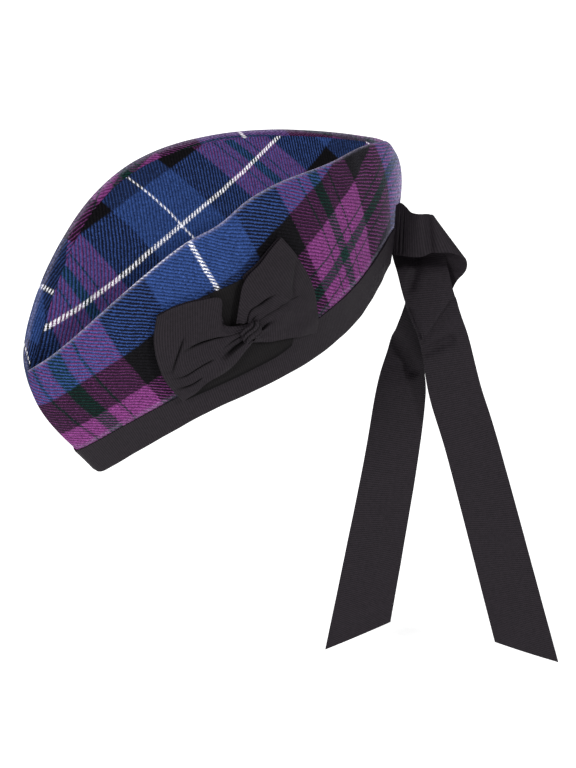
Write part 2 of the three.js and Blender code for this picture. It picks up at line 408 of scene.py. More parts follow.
        # Loose fibres carry some of each yarn's colour over the other, but hard white yarn stays clear.
        whites = [add_node(tree, "ShaderNodeRGBToBW", links={0: colour}).outputs[0] for colour in colours]
        clear = add_node(tree, MATH, {"operation": "MAXIMUM"}, links={0: whites[0], 1: whites[1]})
        least = add_node(tree, MATH, MULTIPLY_ADD, {1: -self.mingle, 2: self.mingle}, {0: clear.outputs[0]})
        most = add_node(tree, MATH, {"operation": "SUBTRACT"}, {0: 1.0}, {1: least.outputs[0]})
        mingled = add_node(
            tree,
            "ShaderNodeMapRange",
            values={"From Min": self.edge_from, "From Max": self.edge_to},
            links={"Value": swollen.outputs[0], "To Min": least.outputs[0], "To Max": most.outputs[0]},
        )
        yarn = add_node(
            tree,
            MIX,
            {"data_type": "RGBA"},
            links={"Factor": mingled.outputs[0], 6: colours[1], 7: colours[0]},
        )
        return yarn.outputs[2]

    def _shaded(self, tree: Tree, yarn: Socket, twill: Twill, nap: Socket) -> Socket:
        """Paint shade on the yarn's colour between the twill lines and painted light along them, less so
        where it is pale, and mottle it.

        Args:
            tree: Node tree of the material.
            yarn: The yarn's colour.
            twill: How the yarns cross.
            nap: Noise of the nap.

        Returns:
            Socket with the shaded colour.
        """
        lean = add_node(tree, MATH, {"operation": "ADD"}, {1: self.wale_lag}, {0: twill.slant})
        glow = add_node(tree, MATH, SINE, links={0: lean.outputs[0]})
        rounded = add_node(
            tree, MATH, MULTIPLY_ADD, {1: self.yarn_round, 2: self.yarn_floor}, {0: twill.height}
        )
        shade = add_node(
            tree, MATH, MULTIPLY_ADD, {1: self.wale}, {0: glow.outputs[0], 2: rounded.outputs[0]}
        )
        pale = add_node(tree, "ShaderNodeRGBToBW", links={0: yarn})
        evened = add_node(
            tree,
            MIX,
            {"data_type": "FLOAT"},
            {"B": 1.0},
            {"Factor": pale.outputs[0], "A": shade.outputs[0]},
        )
        mottle = add_node(
            tree, MATH, MULTIPLY_ADD, {1: self.nap_depth, 2: 1 - self.nap_depth / 2}, {0: nap}
        )
        depth = add_node(tree, MATH, MULTIPLY, links={0: evened.outputs[0], 1: mottle.outputs[0]})
        grey = add_node(tree, "ShaderNodeCombineXYZ", links={axis: depth.outputs[0] for axis in range(3)})
        coloured = add_node(
            tree,
            MIX,
            {"data_type": "RGBA", "blend_type": "MULTIPLY"},
            {"Factor": 1.0},
            {6: yarn, 7: grey.outputs[0]},
        )
        return coloured.outputs[2]

    def _marked_pale(self, tree: Tree, coloured: Socket, nap: Socket) -> Socket:
        """Lighten the colour with a pale mark that is partly worn nap and partly a painted highlight.

        Args:
            tree: Node tree of the material.
            coloured: The cloth's colour.
            nap: Noise of the nap.

        Returns:
            Socket with the colour under its pale mark.
        """
        wear_and_highlight = add_node(tree, "ShaderNodeAttribute", {"attribute_name": WEAR_AND_HIGHLIGHT})
        speckle = add_node(
            tree,
            MATH,
            {"operation": "MULTIPLY_ADD", "use_clamp": True},
            {1: self.speckle_gain, 2: self.speckle_floor},
            {0: nap},
        )
        share = add_node(tree, MATH, MULTIPLY, links={0: wear_and_highlight.outputs["Fac"], 1: speckle.outputs[0]})
        hidden = add_node(
            tree,
            MATH,
            {"operation": "MULTIPLY", "use_clamp": True},
            {1: self.pale_mark_gain},
            {0: share.outputs[0]},
        )
        marked_pale = add_node(
            tree,
            MIX,
            {"data_type": "RGBA"},
            {7: linear(self.pale_mark_colour)},
            {"Factor": hidden.outputs[0], 6: coloured},
        )
        return marked_pale.outputs[2]

    def _spread(self, tree: Tree, colour: Socket) -> Socket:
        """Find how wide a yarn lies over the one it crosses.

        Args:
            tree: Node tree of the material.
            colour: The yarn's colour.

        Returns:
            Socket with its spread, known by the yarn's red: the tightly spun purple lies narrowest, and the
            dark yarns widest.
        """
        parts = add_node(tree, "ShaderNodeSeparateColor", links={0: colour})
        ramp = add_node(tree, "ShaderNodeValToRGB", links={0: parts.outputs[0]})
        # Each spread stands at its yarns' red: black and green, blue, purple, a stop between, and white.
        spreads = (
            (0.006, self.dark),
            (0.02, self.even),
            (0.15, self.tight),
            (0.4, self.even),
            (0.9, self.full),
        )
        for index, (red, spread) in enumerate(spreads):
            mark = ramp.color_ramp.elements[index] if index < 2 else ramp.color_ramp.elements.new(red)
            mark.position = red
            mark.color = (spread, spread, spread, 1.0)
        return ramp.outputs["Color"]

    def _sett_colour(self, tree: Tree, axis: Socket, sett: tuple[Stripe, ...]) -> Socket:
        """Look up the yarn colour along one direction of the cloth.

        Args:
            tree: Node tree of the material.
            axis: Distance across the stripes, in millimetres.
            sett: Half of the repeat, which is mirrored at both ends.

        Returns:
            Socket with the yarn's colour.
        """
        half = sum(stripe.width for stripe in sett)
        mirrored = add_node(tree, MATH, {"operation": "PINGPONG"}, {1: half}, {0: axis})
        share = add_node(tree, MATH, {"operation": "DIVIDE"}, {1: half}, {0: mirrored.outputs[0]})
        ramp = add_node(tree, "ShaderNodeValToRGB", links={0: share.outputs[0]})
        chart = ramp.color_ramp
        chart.interpolation = "LINEAR"
        start = 0.0
        for index, stripe in enumerate(sett):
            bleed = min(self.bleed, stripe.width / 2)
            first = 0.0 if index == 0 else (start + bleed / 2) / half
            start += stripe.width
            last = 1.0 if index == len(sett) - 1 else (start - bleed / 2) / half
            for place, stop in ((first, 2 * index), (last, 2 * index + 1)):
                mark = chart.elements[stop] if stop < 2 else chart.elements.new(place)
                mark.position = place
                mark.color = linear(stripe.thread.value)
        return ramp.outputs["Color"]


@dataclass(frozen=True)
class BlackRibbon:
    """Dyed black rayon ribbon in a fine plain weave: near matt, with faint cross ribs and a soft sheen."""

    rib: float = 1.5
    yarn: float = 1.2
    slub_size: float = 2.2
    colour: str = "#0f0c10"
    light_colour: str = "#262126"
    # Near-black colour of the painted shade in creases.
    crease_shade_colour: str = "#040304"
    cross_share: float = 0.6
    tone: float = 0.3
    roughness: float = 0.66
    wear: float = 0.14
    bump: float = 0.28
    relief: float = 0.12
    specular: float = 0.11
    sheen: float = 0.03
    sheen_roughness: float = 0.4
    sheen_tint: str = "#b9b4bd"
    name: str = "black_rayon_ribbon"

    def material(self) -> Material:
        """Build the ribbon, whose ribs are drawn a little coarse so that they show.

        Returns:
            The ribbon's material, which reads the weave map in millimetres.
        """
        material = new_material(self.name)
        tree = material.node_tree
        uv = add_node(tree, "ShaderNodeUVMap", {"uv_map": WEAVE_MAP})
        place = add_node(tree, "ShaderNodeTexCoord")
        axes = add_node(tree, "ShaderNodeSeparateXYZ", links={0: uv.outputs["UV"]})
        waves = []
        for socket, pitch in (("X", self.rib), ("Y", self.yarn)):
            angle = add_node(tree, MATH, MULTIPLY, {1: 2 * math.pi / pitch}, {0: axes.outputs[socket]})
            wave = add_node(tree, MATH, SINE, links={0: angle.outputs[0]})
            waves.append(wave.outputs[0])
        cross = add_node(tree, MATH, MULTIPLY, links={0: waves[0], 1: waves[1]})
        weave = add_node(
            tree, MATH, MULTIPLY_ADD, {1: self.cross_share}, {0: cross.outputs[0], 2: waves[0]}
        )
        slub = add_node(
            tree,
            NOISE,
            values={"Scale": 1 / (self.slub_size * MM), "Detail": 5.0, "Roughness": 0.65},
            links={"Vector": place.outputs["Object"]},
        )
        tone = add_node(
            tree, MATH, MULTIPLY_ADD, {1: self.tone}, {0: weave.outputs[0], 2: slub.outputs["Fac"]}
        )
        coloured = add_node(
            tree,
            MIX,
            {"data_type": "RGBA"},
            {6: linear(self.colour), 7: linear(self.light_colour)},
            {"Factor": tone.outputs[0]},
        )
        # Painted shade: the ribbon is darkened towards a near-black colour where the crease mark lies, in its
        # creases and hollows.
        painted_crease_shade = add_node(tree, "ShaderNodeAttribute", {"attribute_name": PAINTED_CREASE_SHADE})
        crease_shaded = add_node(
            tree,
            MIX,
            {"data_type": "RGBA"},
            {7: linear(self.crease_shade_colour)},
            {"Factor": painted_crease_shade.outputs["Fac"], 6: coloured.outputs[2]},
        )
        worn = add_node(
            tree,
            MATH,
            MULTIPLY_ADD,
            {1: self.wear, 2: self.roughness - self.wear / 2},
            {0: slub.outputs["Fac"]},
        )
        bump = add_node(
            tree,
            "ShaderNodeBump",
            values={"Strength": self.bump, "Distance": self.relief * MM},
            links={"Height": weave.outputs[0]},
        )
        shader = add_node(
            tree,
            "ShaderNodeBsdfPrincipled",
            values={
                "Specular IOR Level": self.specular,
                "Sheen Weight": self.sheen,
                "Sheen Roughness": self.sheen_roughness,
                "Sheen Tint": linear(self.sheen_tint),
            },
            links={
                "Base Color": crease_shaded.outputs[2],
                "Roughness": worn.outputs[0],
                "Normal": bump.outputs[0],
            },
        )
        add_node(tree, "ShaderNodeOutputMaterial", links={"Surface": shader.outputs[0]})
        return material


@dataclass(frozen=True)
class LightTable:
    """Opal acrylic sheet lit from below: a matt, even, shadow-free white ground."""

    colour: str = "#f7f7f7"
    glow: float = 0.72
    grain: float = 3.0
    bump: float = 0.02
    relief: float = 0.1
    roughness: float = 0.9
    specular: float = 0.1

    def material(self) -> Material:
        """Build the table's top.

        Returns:
            The floor's material.
        """
        material = new_material("opal_acrylic_light_table")
        tree = material.node_tree
        place = add_node(tree, "ShaderNodeTexCoord")
        grain = add_node(
            tree, NOISE, values={"Scale": 1 / (self.grain * MM)}, links={"Vector": place.outputs["Object"]}
        )
        bump = add_node(
            tree,
            "ShaderNodeBump",
            values={"Strength": self.bump, "Distance": self.relief * MM},
            links={"Height": grain.outputs["Fac"]},
        )
        shader = add_node(
            tree,
            "ShaderNodeBsdfPrincipled",
            values={
                "Base Color": linear(self.colour),
                "Roughness": self.roughness,
                "Specular IOR Level": self.specular,
                "Emission Color": linear(self.colour),
                "Emission Strength": self.glow,
            },
            links={"Normal": bump.outputs[0]},
        )
        add_node(tree, "ShaderNodeOutputMaterial", links={"Surface": shader.outputs[0]})
        return material


def grid_normals(face: Grid, ring: bool) -> Grid:
    """Work out the normals of a grid of points.

    Args:
        face: Points, columns by rows by 3.
        ring: Whether the columns close on themselves.

    Returns:
        Unit normals, one for each point.
    """
    if ring:
        along = np.roll(face, -1, 0) - np.roll(face, 1, 0)
    else:
        along = np.gradient(face, axis=0)
    over = np.gradient(face, axis=1)
    normal = np.cross(along, over)
    size = np.linalg.norm(normal, axis=-1, keepdims=True)
    return normal / np.maximum(size, 1e-9)


@dataclass
class ClothSheet:
    """A sheet of cloth with a face, a back one thickness behind it, and closed edges."""

    name: str
    face: Grid
    weave: Grid
    thickness: float
    ring: bool = False
    second_weave: Optional[Grid] = None
    split_row: int = 0
    back: Optional[Grid] = None
    wear_and_highlight: Optional[Grid] = None
    painted_crease_shade: Optional[Grid] = None

    def build(self, material: Material) -> Piece:
        """Make the sheet's mesh object, in metres.

        Args:
            material: Finish of the sheet.

        Returns:
            The new object, at the origin.
        """
        columns, rows = self.face.shape[:2]
        back = self.back
        if back is None:
            back = self.face - self.thickness * grid_normals(self.face, self.ring)
        points = np.concatenate([self.face.reshape(-1, 3), back.reshape(-1, 3)]) * MM
        quads, maps = self._quads(columns, rows)
        mesh = bpy.data.meshes.new(self.name)
        mesh.vertices.add(len(points))
        mesh.vertices.foreach_set("co", points.astype(np.float32).ravel())
        mesh.loops.add(quads.size)
        mesh.loops.foreach_set("vertex_index", quads.astype(np.int32).ravel())
        mesh.polygons.add(len(quads))
        mesh.polygons.foreach_set("loop_start", np.arange(0, quads.size, 4, dtype=np.int32))
        mesh.polygons.foreach_set("loop_total", np.full(len(quads), 4, np.int32))
        layer = mesh.uv_layers.new(name=WEAVE_MAP)
        layer.data.foreach_set("uv", maps.astype(np.float32).ravel())
        # Point marks: pale wear with a painted highlight, and painted shade in creases.
        for name, share in ((WEAR_AND_HIGHLIGHT, self.wear_and_highlight), (PAINTED_CREASE_SHADE, self.painted_crease_shade)):
            if share is not None:
                mark = mesh.attributes.new(name, "FLOAT", "POINT")
                mark.data.foreach_set("value", np.tile(share.ravel(), 2).astype(np.float32))
        mesh.update(calc_edges=True)
        mesh.validate()
        return finish_object(self.name, mesh, material)

    def _quads(self, columns: int, rows: int) -> tuple[Grid, Grid]:
        """List the sheet's faces.

        Args:
            columns: Columns of the grid.
            rows: Rows of the grid.

        Returns:
            Corner indices, and the weave map at each corner.
        """
        behind = columns * rows
        wide = columns if self.ring else columns - 1
        i, j = (part.ravel() for part in np.meshgrid(np.arange(wide), np.arange(rows - 1), indexing="ij"))
        quads: list[Grid] = []
        maps: list[Grid] = []

        def add(corners: Sequence[tuple[Grid, Grid, int]]) -> None:
            """Add faces from their corners.

            Args:
                corners: For each corner a column, a row, and 0 for the face or 1 for the back.
            """
            ids = [(column % columns) * rows + row + behind * layer for column, row, layer in corners]
            quads.append(np.stack(ids, -1))
            lowest = np.minimum.reduce([row for _, row, _ in corners])
            first = np.stack([self.weave[column, row] for column, row, _ in corners], 1)
            if self.second_weave is not None:
                other = np.stack([self.second_weave[column, row] for column, row, _ in corners], 1)
                first = np.where((lowest >= self.split_row)[:, None, None], other, first)
            maps.append(first)

        add([(i, j, 0), (i + 1, j, 0), (i + 1, j + 1, 0), (i, j + 1, 0)])
        add([(i, j, 1), (i, j + 1, 1), (i + 1, j + 1, 1), (i + 1, j, 1)])
        edge = np.arange(wide)
        low, high = np.zeros_like(edge), np.full_like(edge, rows - 1)
        add([(edge, low, 0), (edge, low, 1), (edge + 1, low, 1), (edge + 1, low, 0)])
        add([(edge, high, 0), (edge + 1, high, 0), (edge + 1, high, 1), (edge, high, 1)])
        if not self.ring:
            side = np.arange(rows - 1)
            first, last = np.zeros_like(side), np.full_like(side, columns - 1)
            add([(first, side, 0), (first, side + 1, 0), (first, side + 1, 1), (first, side, 1)])
            add([(last, side, 0), (last, side, 1), (last, side + 1, 1), (last, side + 1, 0)])
        return np.concatenate(quads), np.concatenate(maps)


def finish_object(name: str, mesh: Mesh, material: Material) -> Piece:
    """Link a mesh as an object with smooth shading up to sharp edges.

    Args:
        name: Name of the object.
        mesh: Its mesh, in place.
        material: Its finish.

    Returns:
        The object.
    """
    piece = bpy.data.objects.new(name, mesh)
    bpy.context.scene.collection.objects.link(piece)
    mesh.materials.append(material)
    bpy.ops.object.select_all(action="DESELECT")
    piece.select_set(True)
    bpy.context.view_layer.objects.active = piece
    bpy.ops.object.shade_smooth_by_angle(angle=SHARP_EDGE)
    piece.select_set(False)
    return piece


def dress(piece: Piece, node: str) -> None:
    """Say which CAD node a piece stands for: hang the piece under the root, hide that node and log them.

    Args:
        piece: The piece.
        node: CAD node that it replaces.
    """
    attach(piece, "root")
    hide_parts(node)
    LOG.info("%s stands for %s, %d faces", piece.name, node, len(piece.data.polygons))


def smooth(values: Grid) -> Grid:
    """Return a smooth step of values from 0 to 1."""
    held = np.clip(values, 0, 1)
    return held * held * (3 - 2 * held)


def hermite(rows: Sequence[Any], share: Grid) -> Grid:
    """Draw a smooth curve through evenly spaced values or points.

    Args:
        rows: Rows of a table, each a number or an array.
        share: Places from 0 to 1.

    Returns:
        Value at each place.
    """
    table = np.asarray(rows, float)
    padded = np.concatenate([2 * table[:1] - table[1:2], table, 2 * table[-1:] - table[-2:-1]])
    place = np.clip(share, 0, 1) * (len(table) - 1)
    index = np.minimum(place.astype(int), len(table) - 2)
    t = (place - index).reshape(place.shape + (1,) * (table.ndim - 1))
    p0, p1, p2, p3 = (padded[index + k] for k in range(4))
    return p1 + 0.5 * t * (p2 - p0 + t * (2 * p0 - 5 * p1 + 4 * p2 - p3 + t * (3 * (p1 - p2) + p3 - p0)))


@dataclass(frozen=True)
class Ripple:
    """A soft wave in cloth: its height, its two wavelengths and where it starts, in millimetres."""

    height: float
    along: float
    across: float
    start: float = 0.0


def ripples(rows: Sequence[Ripple], along: Grid, across: Grid) -> Grid:
    """Add up the waves of a cloth.

    Args:
        rows: The waves.
        along: Distance along the cloth.
        across: Distance across it.

    Returns:
        Height at each place.
    """
    total = np.zeros(np.broadcast(along, across).shape)
    for row in rows:
        turn = 2 * math.pi * (along / row.along + across / row.across) + row.start
        total = total + row.height * np.sin(turn)
    return total


@dataclass(frozen=True)
class BoatLine:
    """A boat-shaped line round the cap: 1 is a rounded end and 2 a pointed one."""

    length: float
    half_width: float
    front_point: float
    back_point: float
    shift: float = 0.0


@dataclass(frozen=True)
class Settle:
    """How soft cloth settles off the even form: its greatest lift, where along the cap, and its reach."""

    lift: float
    place: float
    reach: float

    def at(self, along: Grid) -> Grid:
        """Return the lift at places along the cap."""
        return self.lift * np.exp(-(((along - self.place) / self.reach) ** 2))


@dataclass(frozen=True)
class CapForm:
    """The cap's walls, roll and crown, from its driving sizes in millimetres."""

    pitch: float = math.radians(25.2)
    rim: BoatLine = BoatLine(243.0, 62.0, 1.96, 2.37)
    rim_drop: float = 15.1
    rim_sweep: float = 12.1
    rim_front_tip: float = 4.5
    ridge: BoatLine = BoatLine(287.0, 63.3, 1.27, 1.89, 12.3)
    ridge_front: float = 74.5
    ridge_back: float = 60.4
    ridge_arch: float = 48.8
    ridge_skew: float = -2.2
    front_tip: float = 2.5
    back_tip: float = 7.5
    far_ridge: Settle = Settle(3.8, 3.0, 55.0)
    far_width: float = 45.0
    far_height: float = 70.0
    near_sags: tuple[Settle, ...] = (Settle(-3.6, -3.0, 17.0), Settle(-3.6, 84.0, 32.0))
    near_width: float = 45.0
    near_low: float = 58.0
    near_rise: float = 36.0
    rim_ease: Settle = Settle(2.6, -56.0, 38.0)
    rim_ease_height: float = 25.0
    seam_bow_front: float = 7.0
    seam_bow_high: float = 0.6
    seam_bow_back: float = 7.9
    seam_bow_spread: float = 4.0
    side_belly: float = 3.0
    roll_below: float = 5.0
    roll_above: float = 3.0
    roll_inside: float = 5.6
    roll_slope: float = 0.9
    far_roll: Settle = Settle(5.5, -105.0, 55.0)
    valley_depth: float = 0.78
    valley_sharpness: float = 1.6
    band_height: float = 22.4
    gap: float = 0.3
    cloth: float = 1.6

    def turns(self, steps: int, start: float = 0.0, end: float = 1.0) -> Grid:
        """Return turns from the front to the back, at even steps of the length."""
        return np.arccos(1 - 2 * np.linspace(start, end, steps + 1))

    def between(self, front: float, back: float, turn: Grid) -> Grid:
        """Return a weighted mix of a front and a back value."""
        return (front * (1 + np.cos(turn)) + back * (1 - np.cos(turn))) / 2

    def boat_width(self, line: BoatLine, turn: Grid) -> Grid:
        """Return the half-width of a boat line at a turn."""
        across = np.sin(turn)
        return line.half_width * np.sign(across) * np.abs(across) ** self.between(
            line.front_point, line.back_point, turn
        )

    def rim_point(self, turn: Grid) -> Grid:
        """Find points on the rim.

        Args:
            turn: Place round the cap, from the front over the left side.

        Returns:
            Points on the rim.
        """
        along, side = np.cos(turn), np.sin(turn) ** 2
        z = -self.rim_drop * along**2 + self.rim_sweep * along * side
        z = z + self.rim_lift(turn)
        return np.stack([self.boat_width(self.rim, turn), -self.rim.length / 2 * along, z], -1)

    def rim_lift(self, turn: Grid) -> Grid:
        """Return how far the rounded front corner of the rim is lifted."""
        short = np.clip(1 - self.rim.length / 2 * (1 - np.cos(turn)) / self.rim_front_tip, 0, 1)
        return self.rim_front_tip * (1 - np.sqrt(1 - short**2))

    def ridge_point(self, turn: Grid) -> Grid:
        """Find points on the ridge where the side folds over.

        Args:
            turn: Place round the cap.

        Returns:
            Points on the ridge.
        """
        along, side = np.cos(turn), np.sin(turn) ** 2
        ends = self.between(self.ridge_front, self.ridge_back, turn)
        z = ends + (self.ridge_arch + self.ridge_skew * along) * side
        for radius, end in ((self.front_tip, 1 - along), (self.back_tip, 1 + along)):
            short = np.clip(1 - self.ridge.length / 2 * end / radius, 0, 1)
            z = z - radius * (1 - np.sqrt(1 - short**2))
        y = self.ridge.shift - self.ridge.length / 2 * along
        return np.stack([self.boat_width(self.ridge, turn), y, z], -1)

    def span(self, turn: Grid) -> Grid:
        """Return the straight height of the wall."""
        return np.linalg.norm(self.ridge_point(turn) - self.rim_point(turn), axis=-1)

    def wall_point(self, turn: Grid, height: Grid) -> Grid:
        """Find points on a side wall.

        Args:
            turn: Place round the cap.
            height: 0 at the rim, 1 at the ridge.

        Returns:
            Points on the wall's face.
        """
        turn, height = np.broadcast_arrays(np.asarray(turn, float), np.asarray(height, float))
        along, belly = np.cos(turn), 4 * height * (1 - height)
        share = height[..., None]
        point = self.rim_point(turn) * (1 - share) + self.ridge_point(turn) * share
        point[..., 0] += self.side_belly * belly * np.sin(turn) * np.abs(np.sin(turn))
        back = self.seam_bow_back * ((1 - along) / 2) ** self.seam_bow_spread
        front = self.seam_bow_front * ((1 + along) / 2) ** self.seam_bow_spread
        point[..., 1] += belly * (back - front) * (1 + self.seam_bow_high * (2 * height - 1))
        return point

    def wall_up(self, turn: Grid, height: Grid) -> Grid:
        """Find which way is up on the wall.

        Args:
            turn: Place round the cap.
            height: 0 at the rim, 1 at the ridge.

        Returns:
            Unit directions.
        """
        rise = 0.05
        up = self.wall_point(turn, height + rise) - self.wall_point(turn, height - rise)
        return up / np.linalg.norm(up, axis=-1, keepdims=True)

    def wall_out(self, turn: Grid, height: Grid) -> Grid:
        """Find which way is out from the wall.

        Args:
            turn: Place round the cap.
            height: 0 at the rim, 1 at the ridge.

        Returns:
            Unit normals.
        """
        step = math.pi / 40
        aft = self.wall_point(turn + step, height) - self.wall_point(turn - step, height)
        out = np.cross(aft, self.wall_up(turn, height))
        return out / np.linalg.norm(out, axis=-1, keepdims=True)

    def seam_point(self, turn: Grid, far: bool = False) -> Grid:
        """Find points on a crown seam, inside the rolled ridge.

        Args:
            turn: Place along the cap, counted on the left side.
            far: Whether to follow the right side, which rolls further over at the front.

        Returns:
            Points on the seam, as seen on the left side.
        """
        ridge = self.ridge_point(turn)
        inside = np.minimum(self.roll_inside, np.abs(ridge[..., 0]))
        if far:
            wide = self.roll_inside + self.far_roll.at(ridge[..., 1])
            inside = np.maximum(inside, np.minimum(wide, np.abs(ridge[..., 0]) / 2))
        inward = np.stack([-np.sign(ridge[..., 0]) * inside, 0 * inside, -self.roll_slope * inside], -1)
        return ridge + inward

    def crown_point(self, turn: Grid, across: Grid) -> Grid:
        """Find points on the crown.

        Args:
            turn: Place along the cap.
            across: 0 at the right seam, 1 at the left.

        Returns:
            Points on the crown's face.
        """
        turn, across = np.broadcast_arrays(np.asarray(turn, float), np.asarray(across, float))
        near, place = self.seam_point(turn), 2 * across - 1
        valley = near[..., 2] - self.valley_depth * (near[..., 0] - 2 * self.gap)
        seam = np.where(place[..., None] > 0, near, self.seam_point(turn, far=True))
        half = seam[..., 0] - 2 * self.gap
        z = valley + (seam[..., 2] - valley) * np.abs(place) ** self.valley_sharpness
        return np.stack([half * place, seam[..., 1], z], -1)

    def tilt(self, points: Grid) -> Grid:
        """Settle points as the cloth lies, and tip them front-down as the cap is worn.

        Args:
            points: Points on the even form.

        Returns:
            The points in the part's frame, still in millimetres.
        """
        c, s = math.cos(self.pitch), math.sin(self.pitch)
        x, y, z = points[..., 0], points[..., 1], points[..., 2]
        far = self.far_ridge.at(y) * smooth(-x / self.far_width) * smooth(z / self.far_height)
        low = self.rim_ease.at(y) * (1 - smooth(z / self.rim_ease_height))
        near = smooth(x / self.near_width) * smooth((z - self.near_low) / self.near_rise)
        z = z + far + low + near * sum(sag.at(y) for sag in self.near_sags)
        return np.stack([x, c * y - s * z, s * y + c * z], -1)


def lay_flat(first: Grid, second: Grid) -> tuple[Grid, Grid]:
    """Unroll the strip between two edges onto a flat table, rung by rung.

    Args:
        first: Points of one edge.
        second: Points of the other edge.

    Returns:
        Flat places of both edges, with the middle of the second one at the origin and level.
    """

    def corner(p: Grid, q: Grid, from_p: float, from_q: float) -> Grid:
        """Find a flat point by its distances from two others.

        Args:
            p: The first point.
            q: The second point.
            from_p: Distance from the first.
            from_q: Distance from the second.

        Returns:
            The point, on the right of the way from the first to the second.
        """
        line = q - p
        length = float(np.linalg.norm(line))
        reach = (from_p**2 - from_q**2 + length**2) / (2 * length)
        rise = math.sqrt(max(from_p**2 - reach**2, 0))
        unit = line / length
        return p + unit * reach + np.array([unit[1], -unit[0]]) * rise

    def apart(p: Grid, q: Grid) -> float:
        """Return the distance between two points."""
        return float(np.linalg.norm(p - q))

    count = len(first)
    a, b = np.zeros((count, 2)), np.zeros((count, 2))
    b[0] = (0, apart(second[0], first[0]))
    for i in range(count - 1):
        a[i + 1] = corner(a[i], b[i], apart(first[i + 1], first[i]), apart(first[i + 1], second[i]))
        rung, step = apart(second[i + 1], first[i + 1]), apart(second[i + 1], second[i])
        b[i + 1] = corner(a[i + 1], b[i], rung, step)
    middle = count // 2
    near = count // LEVEL_PART
    level = b[middle + near] - b[middle - near]
    angle = -math.atan2(level[1], level[0])
    turn = np.array([[math.cos(angle), -math.sin(angle)], [math.sin(angle), math.cos(angle)]])
    origin = b[middle].copy()
    return (a - origin) @ turn.T, (b - origin) @ turn.T


@dataclass(frozen=True)
class Run:
    """One direction of the tartan over a flat panel: its place at the middle, its gain and its curve."""

    start: float
    per_along: float
    per_across: float
    bend: float = 0.0
    fan: float = 0.0
    curl: float = 0.0
    ease: float = 0.0

    def at(self, flat: Grid) -> Grid:
        """Find places along the sett.

        Args:
            flat: Flat places of the panel, from its middle.

        Returns:
            Places in millimetres.
        """
        x, y = flat[..., 0], flat[..., 1]
        straight = self.start + self.per_along * x + self.per_across * y
        return straight + self.bend * x * x + self.fan * x * y + self.curl * y * y + self.ease * x**3


@dataclass(frozen=True)
class Lay:
    """How the tartan lies on a flat-cut panel."""

    along: Run
    across: Run

    def weave(self, flat: Grid, along_way: float = 1.0, across_way: float = 1.0) -> Grid:
        """Find places in the sett.

        Args:
            flat: Flat places of the panel.
            along_way: 1, or -1 where the panel is cut the other way along.
            across_way: 1, or -1 where it is cut the other way across.

        Returns:
            Places in the sett, in millimetres.
        """
        return np.stack([along_way * self.along.at(flat), across_way * self.across.at(flat)], -1)


